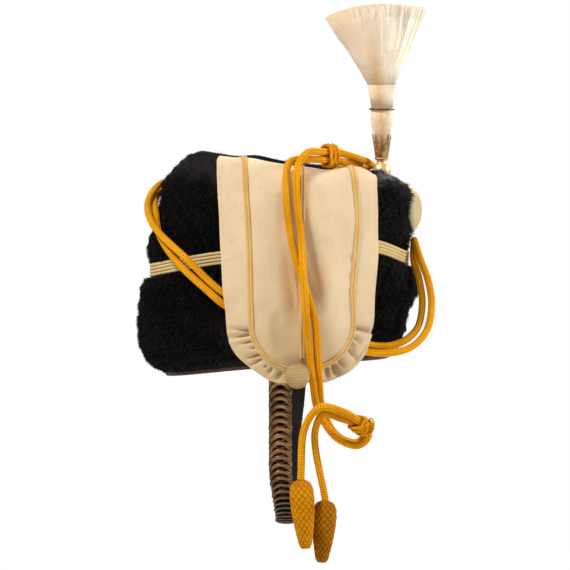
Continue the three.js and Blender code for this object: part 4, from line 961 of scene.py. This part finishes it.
def netted(polar, angle):
    """Ribs from pole to pole as the size of a sine, and on them beads, every other rib half a bead on."""
    rib = np.abs(np.sin(polar * BUTTON["threads"] / 2))
    bead = np.abs(np.sin(angle * 30 + np.floor(polar * BUTTON["threads"] / 2 / np.pi) * np.pi / 2))
    return 0.045 * rib + 0.03 * rib * bead - 0.04


button_grid = ball(BUTTON["place"], (BUTTON["radius"], BUTTON["depth"], BUTTON["radius"]), 84, 90, netted)
button_look = gimp_look("netted_thread", (0.66, 0.43, 0.2), (0.46, 0.27, 0.1))
button = skin("netted_button", button_grid, button_look, "bag_button", uv=(0.33, 0.31))

# The boss on the front: rows of cream gimp cord wound in ovals on a domed core. It is sewn to the fur
# above the band, and the cap lines begin just below it.
BOSS = {"x": 0.1172, "z": 0.144, "depth": 0.013, "height": 0.0415, "width": 0.037, "rows": 7,
        "groove": 0.0024}
share = np.concatenate([np.linspace(0.02, 1.0, 80), [0.97, 0.02]])[:, None]
angle = full_turn(100)[None]
groove = 1 - np.abs(np.sin(share * BOSS["rows"] * np.pi))
dome = BOSS["depth"] * np.sqrt(1 - 0.86 * share**2) - BOSS["groove"] * groove
dome = np.where(np.arange(82)[:, None] > 79, 0.0, dome)
boss_grid = oval(angle, share * BOSS["width"] / 2, share * BOSS["height"] / 2, BOSS["x"] + dome)
boss_grid = boss_grid[..., [2, 0, 1]] + (0, 0, BOSS["z"])
# painted light: the boss's cream gimp is a lighter copy of the band's, for the light from the right that
# falls on it
painted_light_boss_look = gimp_look("boss_gimp_painted_light", (1.0, 0.85, 0.52), (1.0, 0.78, 0.42))
skin("wound_boss", boss_grid, painted_light_boss_look, "front_boss", uv=(1.0, 0.125))

# The plume's fittings: a gilt ball on a stem that goes down into the hat, a cup of embossed leaves and a
# ring of wire. The plume leans a little to the right-hand side.
PLUME = {"place": np.array([0.094, 0.0, 0.1796]), "lean": math.radians(5)}


def plume_placed(grid):
    """Turns points made about the ball's middle to the plume's lean and puts them on the hat."""
    x, y, z = np.moveaxis(grid, -1, 0)
    c, s = math.cos(PLUME["lean"]), math.sin(PLUME["lean"])
    return np.stack([x, y * c - z * s, y * s + z * c], -1) + PLUME["place"]


def lathe(profile, around, ripple=None):
    """A profile of (radius, height) turned round the plume's line. Ripple changes the radius by angle."""
    profile = np.asarray(profile, float)
    angle = full_turn(around)[None]
    radius, z = profile[:, :1], profile[:, 1:]
    radius = radius * (1 + ripple(angle)) if ripple else radius
    return plume_placed(oval(angle, radius, radius, z))


brass_look = Look("worn_gilt", Metallic=0.82)
wear, pits = brass_look.noise(210.0, 6.0, 0.65), brass_look.noise(900.0)
gilt = brass_look.coat((1.0, 0.77, 0.46), (wear, 0.4, 0.66, 1.0, (0.62, 0.4, 0.17)),
                       (pits, 0.62, 0.75, 0.7, (0.1, 0.055, 0.03)))
brass_look.wear(Base_Color=gilt, Roughness=brass_look.spread(wear, 0.35, 0.7, 0.36, 0.6),
                Normal=brass_look.bump(pits, 0.0002, 0.4))
BALL, NECK = 0.0083, 0.0044  # their radii
polar = np.linspace(0.25, math.pi - math.asin(NECK / BALL), 40)
ball_profile = [(0.002, -0.046), (0.002, -0.0457), *zip(BALL * np.sin(polar), -BALL * np.cos(polar))]
ball_profile += [(NECK, 0.0084), (0.0052, 0.0088), (0.0054, 0.0094), (0.0052, 0.01), (0.0048, 0.0104)]
skin("gilt_ball", lathe(ball_profile, 56), brass_look, "plume_ball")

CUP = {"low": 0.0107, "tips": 0.0325, "notch": 0.0235, "low_radius": 0.0048, "high_radius": 0.0074,
       "leaves": 8, "wall": 0.0007}
cup_look = Look("dull_brass", Metallic=1.0)
dulled = cup_look.noise(260.0, 6.0, 0.7)
cup_look.wear(Base_Color=cup_look.coat((0.66, 0.44, 0.2), (dulled, 0.36, 0.62, 1.0, (0.24, 0.14, 0.055))),
              Roughness=cup_look.spread(dulled, 0.35, 0.7, 0.3, 0.6))
angle = full_turn(160)[:, None]
leaf = np.abs((angle * CUP["leaves"] / (2 * np.pi)) % 1 * 2 - 1)
top = CUP["notch"] + (CUP["tips"] - CUP["notch"]) * leaf**1.4
share = np.concatenate([np.linspace(0, 1, 16), np.linspace(1, 0, 16)])[None]
outer = (np.arange(32) < 16)[None]
z = CUP["low"] + (top - CUP["low"]) * share
radius = np.interp(z, (CUP["low"], CUP["tips"]), (CUP["low_radius"], CUP["high_radius"]))
vein = 0.0005 * np.abs(np.sin(angle * CUP["leaves"] * 2.5)) + 0.0007 * np.exp(-(((leaf - 1) / 0.16) ** 2))
radius = radius + np.where(outer, CUP["wall"] + vein * share, 0.0)
cup_grid = plume_placed(oval(angle, radius, radius, z))
skin("leaf_cup", cup_grid, cup_look, "leaf_socket", ring=True)


def beaded(angle):
    """Small beads round the cup: the size of a sine."""
    return 0.06 * np.abs(np.sin(14 * angle))


beading = [(0.005, 0.0096), (0.006, 0.0101), (0.0062, 0.0108), (0.0057, 0.0116), (0.005, 0.0119)]
skin("cup_beading", lathe(beading, 112, beaded), cup_look, None)

old_brass = Look("tarnished_brass", Metallic=1.0)
tarnish, bloom = old_brass.noise(130.0, 6.0, 0.7), old_brass.noise(320.0, 4.0, 0.6)
x, _, height = old_brass.parts()
aside = old_brass.sums("ABSOLUTE", old_brass.sums("SUBTRACT", x, 0.004))
metal = old_brass.coat(
    (0.3, 0.155, 0.06),
    (tarnish, 0.36, 0.62, 1.0, (0.07, 0.037, 0.015)),
    (bloom, 0.58, 0.7, 0.6, (0.09, 0.11, 0.06)),
    # painted highlight: the rings are lighter along the middle of the chain
    (aside, 0.0075, 0.002, 0.6, (0.42, 0.24, 0.11)),
    # painted shade: the rings darken towards the bottom of the loop
    (height, -0.05, -0.12, 0.8, (0.06, 0.032, 0.014)),
)
old_brass.wear(Base_Color=metal, Roughness=old_brass.spread(tarnish, 0.35, 0.7, 0.28, 0.55),
               Normal=old_brass.bump(bloom, 0.0002, 0.5))
RING = {"radius": 0.0106, "wire": 0.0009, "height": 0.055}
circle = oval(full_turn(72), 1.0, 1.0, 0.0)
ring_line = circle * RING["radius"] + (0, 0, RING["height"])
ring_grid = plume_placed(tube(ring_line, circle, RING["wire"], 10, ring=True))
skin("wire_ring", ring_grid, old_brass, "plume_ring", ring=True)

# The hair: white horsehair, cut flat above. The short outer hair fills the cup, is bound by the wire
# ring and flares a little above it. The long hair inside opens into a fan.
hair_look = Look("white_hair", Roughness=0.6, Specular_IOR_Level=0.3, Sheen_Weight=0.2)
x, _, height = hair_look.parts()
strand = hair_look.noise(420.0, stretch=(1.0, 1.0, 0.12))
yellowed = hair_look.noise(48.0, 4.0, stretch=(1.0, 1.0, 0.35))
middle = hair_look.sums("MULTIPLY_ADD", height, -0.13, 0.1225)
away = hair_look.sums("ABSOLUTE", hair_look.sums("SUBTRACT", x, middle))
streak = hair_look.spread(away, 0.009, 0.0)
streak = hair_look.sums("MULTIPLY", streak, hair_look.spread(height, 0.315, 0.262))
hair = hair_look.coat(
    (0.8, 0.71, 0.58),
    (strand, 0.35, 0.7, 1.0, (0.76, 0.65, 0.51)),
    (yellowed, 0.5, 0.7, 0.4, (0.88, 0.66, 0.4)),
    (x, 0.098, 0.055, 0.85, (0.62, 0.45, 0.28)),
    (streak, 0.0, 1.0, 0.85, (0.62, 0.38, 0.15)),
    (height, 0.264, 0.26, 0.2, (0.6, 0.46, 0.33)),
    (height, 0.225, 0.2, 0.3, (0.6, 0.46, 0.3)),
)
painted_glow = hair_look.spread(height, 0.3, 0.266, 0.23, 0.36)  # painted light: the hair glows, most at the foot of the fan, to lift the shade there
painted_glow = hair_look.sums("SUBTRACT", painted_glow, hair_look.spread(height, 0.264, 0.262, 0.0, 0.02))
hair_look.wear(Base_Color=hair, Emission_Color=hair, Emission_Strength=painted_glow,
               Normal=hair_look.bump(strand, 0.0002, 0.5))

FAN_ROWS = np.array([  # height, radius, shift to the rear
    (14.6, 3, 0), (36, 6, 0), (50, 7.2, 0), (60, 7.7, 0), (75, 10, 0), (82, 13.4, -0.6), (98, 22.8, -2.7),
    (119, 34, -5.4), (133, 39.5, -6.2), (149, 43, -6.3),
]) * 0.001
CUT = {"rear": 0.0085, "front": 0.003, "from": 0.097, "to": 0.142}  # how far the cut end falls away


def fan_place(angle, share, height):
    """A place in the fan: its share of the radius at this height. The cut top is a low dome, which falls
    away more to the rear."""
    radius, shift = (np.interp(height, FAN_ROWS[:, 0], FAN_ROWS[:, k]) for k in (1, 2))
    x = radius * share * np.cos(angle) + shift
    y = radius * share * np.sin(angle)
    fall = np.where(x < 0, CUT["rear"], CUT["front"]) * (x / 0.042) ** 2
    return np.stack([x, y, height - fall * eased(height, CUT["from"], CUT["to"])], -1)


CORE = {"low": 0.0146, "high": 0.1472, "lid": 0.1482}  # heights of the solid middle of the fan
share = np.linspace(0, 1, 40)[:, None]
angle = full_turn(120)[None]
rows_up = CORE["low"] + (CORE["high"] - CORE["low"]) * share
ribs = 0.003 * np.sin(23 * angle) + 0.003 * np.sin(41 * angle + 2) + 0.002 * np.sin(67 * angle)
lid = fan_place(angle, np.full((1, 1), 0.5), np.full((1, 1), CORE["lid"]))
core = np.concatenate([fan_place(angle, 0.962 + share * ribs, rows_up), lid])
skin("fan_core", plume_placed(core), hair_look, "plume_fan")


def plume_hairs(name, count, low, high, width, wild):
    """Long hairs from the cut end, where they are blunt, to the neck. Each keeps its own share of the
    fan's radius, and some stray a little outwards."""
    angle = chance.uniform(0, 2 * np.pi, count)
    share = np.sqrt(chance.uniform(0.12, 1.0, count))
    share = np.where(chance.random(count) < 0.75, chance.uniform(0.952, 0.995, count), share)
    stray = np.where(chance.random(count) < 0.02, chance.uniform(1.0, 1.09, count), 1.0)
    end = high - chance.exponential(0.0012, count)
    start = np.full(count, low)
    middle = 0.5 * (start + end) - 0.012
    lean = chance.normal(0, wild, count)
    root = plume_placed(fan_place(angle, share * 0.8, start))
    bend = plume_placed(fan_place(angle + lean * 0.4, share * (0.98 + 0.02 * stray), middle))
    tip = plume_placed(fan_place(angle + lean, share * stray, end))
    spikes(name, tip, root, width, hair_look, bend)


plume_hairs("fan_hairs_a", 7000, 0.07, 0.1488, 0.0009, 0.02)
plume_hairs("fan_hairs_b", 3200, 0.066, 0.1488, 0.0006, 0.05)

CUFF = np.array([  # radius, height
    (4.6, 12), (7.3, 30), (8.8, 38), (9.6, 44), (9.6, 50), (9.3, 55), (9.6, 58),
    (10.4, 64), (11.5, 70), (13.1, 76),
]) * 0.001
cuff_in = np.array([(10.8, 75.6), (8.2, 62), (7.6, 50), (6.4, 36), (3.4, 14)]) * 0.001
z_up = np.linspace(0.012, 0.0745, 40)
cuff_profile = np.vstack([np.stack([np.interp(z_up, CUFF[:, 1], CUFF[:, 0]) * 0.96, z_up], -1), cuff_in])


def grooved(angle):
    """Locks and grooves round the cuff: three sines of different counts, added up."""
    return 0.022 * np.sin(38 * angle) + 0.015 * np.sin(61 * angle + 1) + 0.02 * np.sin(9 * angle)


cuff_grid = lathe(cuff_profile, 150, grooved).transpose(1, 0, 2)
skin("cuff_core", cuff_grid, hair_look, "hair_cuff", ring=True)
for name, low, high, end, count in (
    ("cuff_hairs_low", 0.016, 0.04, 0.0555, 1300),
    ("cuff_hairs_high", 0.0545, 0.0565, 0.0768, 1300),
):
    angle = chance.uniform(0, 2 * np.pi, count)
    start, end = chance.uniform(low, high, count), end - chance.exponential(0.0006, count)
    levels = []
    for z in (start, (start + end) / 2, end):
        radius = np.interp(z, CUFF[:, 1], CUFF[:, 0]) * (0.995 + chance.normal(0, 0.008, count))
        levels.append(plume_placed(oval(angle, radius, radius, z)))
    spikes(name, levels[2], levels[0], 0.0007, hair_look, levels[1])

# The chin strap: a loop of black velvet on leather. It hangs from inside both walls of the leather body
# and goes under the chin.
STRAP_HALF = np.array([
    (11, -130.6), (33, -123.4), (52, -107.6), (65, -86), (73.2, -61.5), (77, -36), (77.9, -14), (77.1, 3),
    (76.1, 14), (74.9, 26),
]) * 0.001
STRAP = {"width": 0.02, "thick": 0.0022, "bottom_x": 0.0085, "near_x": 0.0032, "far_x": 0.017}
LEAN = {"bottom": -0.1315, "near": 0.052, "far": 0.107, "wall_bend": 0.0015}


def strap_half(side):
    """Half of the loop's line, from the bottom up. It leans to the rear as it rises on the right and to
    the front as it rises on the left, where the wall pushes it in."""
    y, z = STRAP_HALF.T
    if side < 0:
        up = eased(z - LEAN["bottom"], 0, LEAN["near"])
        return np.stack([STRAP["bottom_x"] + (STRAP["near_x"] - STRAP["bottom_x"]) * up, -y, z], -1)
    up = np.minimum(1, ((z - LEAN["bottom"]) / LEAN["far"]) ** 2)
    x = STRAP["bottom_x"] + (STRAP["far_x"] - STRAP["bottom_x"]) * up
    return np.stack([x, y - LEAN["wall_bend"] * up, z], -1)


strap_line = through(np.vstack([strap_half(-1)[::-1], strap_half(1)]), 0.002)
along = unit(np.gradient(strap_line, axis=0))
strap_out = unit(np.stack([0 * along[:, 0], along[:, 2], -along[:, 1]], -1))
strap_side = unit(np.cross(along, strap_out))
corner = full_turn(24)
round_x = np.sign(np.cos(corner)) * np.abs(np.cos(corner)) ** 0.35
round_y = np.sign(np.sin(corner)) * np.abs(np.sin(corner)) ** 0.6
strap_grid = (
    strap_line[:, None]
    + strap_side[:, None] * round_x[None, :, None] * STRAP["width"] / 2
    + strap_out[:, None] * round_y[None, :, None] * STRAP["thick"] / 2
)
strap_look = Look("black_velvet", Roughness=0.85, Specular_IOR_Level=0.2, Sheen_Weight=0.5,
                  Sheen_Roughness=0.4)
rubbed = strap_look.noise(70.0, 4.0)
velvet = strap_look.coat((0.008, 0.006, 0.009), (rubbed, 0.4, 0.7, 1.0, (0.03, 0.02, 0.018)))
strap_look.wear(Base_Color=velvet, Normal=strap_look.bump(strap_look.noise(900.0), 0.0004, 0.7))
skin("strap_backing", strap_grid, strap_look, "chin_strap")

# The chain: flat rings of old brass sewn on the strap's outer face, each of which lies over the next, as
# scales do.
CHAIN = {"pitch": 0.0064, "bare": 0.026, "side_links": 22, "radius": 0.0077, "broad": 0.0024, "flat": 0.0009,
         "tilt": 0.25, "oval": 0.9, "lift": 0.0031}
walked = walked_along(strap_line)
links = int((walked[-1] - 2 * CHAIN["bare"]) // CHAIN["pitch"])
first = (walked[-1] - links * CHAIN["pitch"]) / 2
turn, wire = full_turn(28), full_turn(8)


def chain_rings(name, from_link, to_link, node):
    """One mesh of rings. Each is a flattened wire circle that lies along the strap and is tilted, so that
    its upper edge lies on the ring above it and its lower edge under the ring below."""
    rings, rows = to_link - from_link, len(turn)
    step = first + (np.arange(from_link, to_link) + 0.5) * CHAIN["pitch"]
    middle, way, out, side = (
        np.stack([np.interp(step, walked, values[:, k]) for k in range(3)], -1)
        for values in (strap_line, along, strap_out, strap_side)
    )
    way = way * np.where(step > walked[-1] / 2, -1.0, 1.0)[:, None]
    lie = way * math.cos(CHAIN["tilt"]) - out * math.sin(CHAIN["tilt"])
    face = out * math.cos(CHAIN["tilt"]) + way * math.sin(CHAIN["tilt"])
    uneven = 1 + 0.04 * np.sin(np.arange(rings) * 2.4)[:, None, None]
    middle = middle + out * (STRAP["thick"] / 2 + CHAIN["lift"])
    circle = np.cos(turn)[:, None] * side[:, None] + np.sin(turn)[:, None] * lie[:, None] * CHAIN["oval"]
    line = middle[:, None] + circle * CHAIN["radius"] * uneven
    section = (
        np.cos(wire)[None, None, :, None] * circle[:, :, None] * CHAIN["broad"]
        + np.sin(wire)[None, None, :, None] * face[:, None, None] * CHAIN["flat"]
    )
    points = (line[:, :, None] + section).reshape(-1, 3)
    k, w = np.meshgrid(np.arange(rows), np.arange(len(wire)), indexing="ij")
    quad = np.stack([
        k * len(wire) + w,
        k * len(wire) + (w + 1) % len(wire),
        (k + 1) % rows * len(wire) + (w + 1) % len(wire),
        (k + 1) % rows * len(wire) + w,
    ], -1).reshape(-1, 4)
    faces = (quad[None] + np.arange(rings)[:, None, None] * rows * len(wire)).reshape(-1, 4)
    inward = six_volumes(points, faces).reshape(rings, -1).sum(1) < 0
    faces = faces.reshape(rings, -1, 4)
    faces[inward] = faces[inward][..., ::-1]
    mesh = bpy.data.meshes.new(name)
    mesh.from_pydata(points.tolist(), [], faces.reshape(-1, 4).tolist())
    dressed(mesh, old_brass, node)


side_links = CHAIN["side_links"]
chain_rings("rings_near", 0, side_links, "chain_near")
chain_rings("rings_bottom", side_links, links - side_links, "chain_bottom")
chain_rings("rings_far", links - side_links, links, "chain_far")
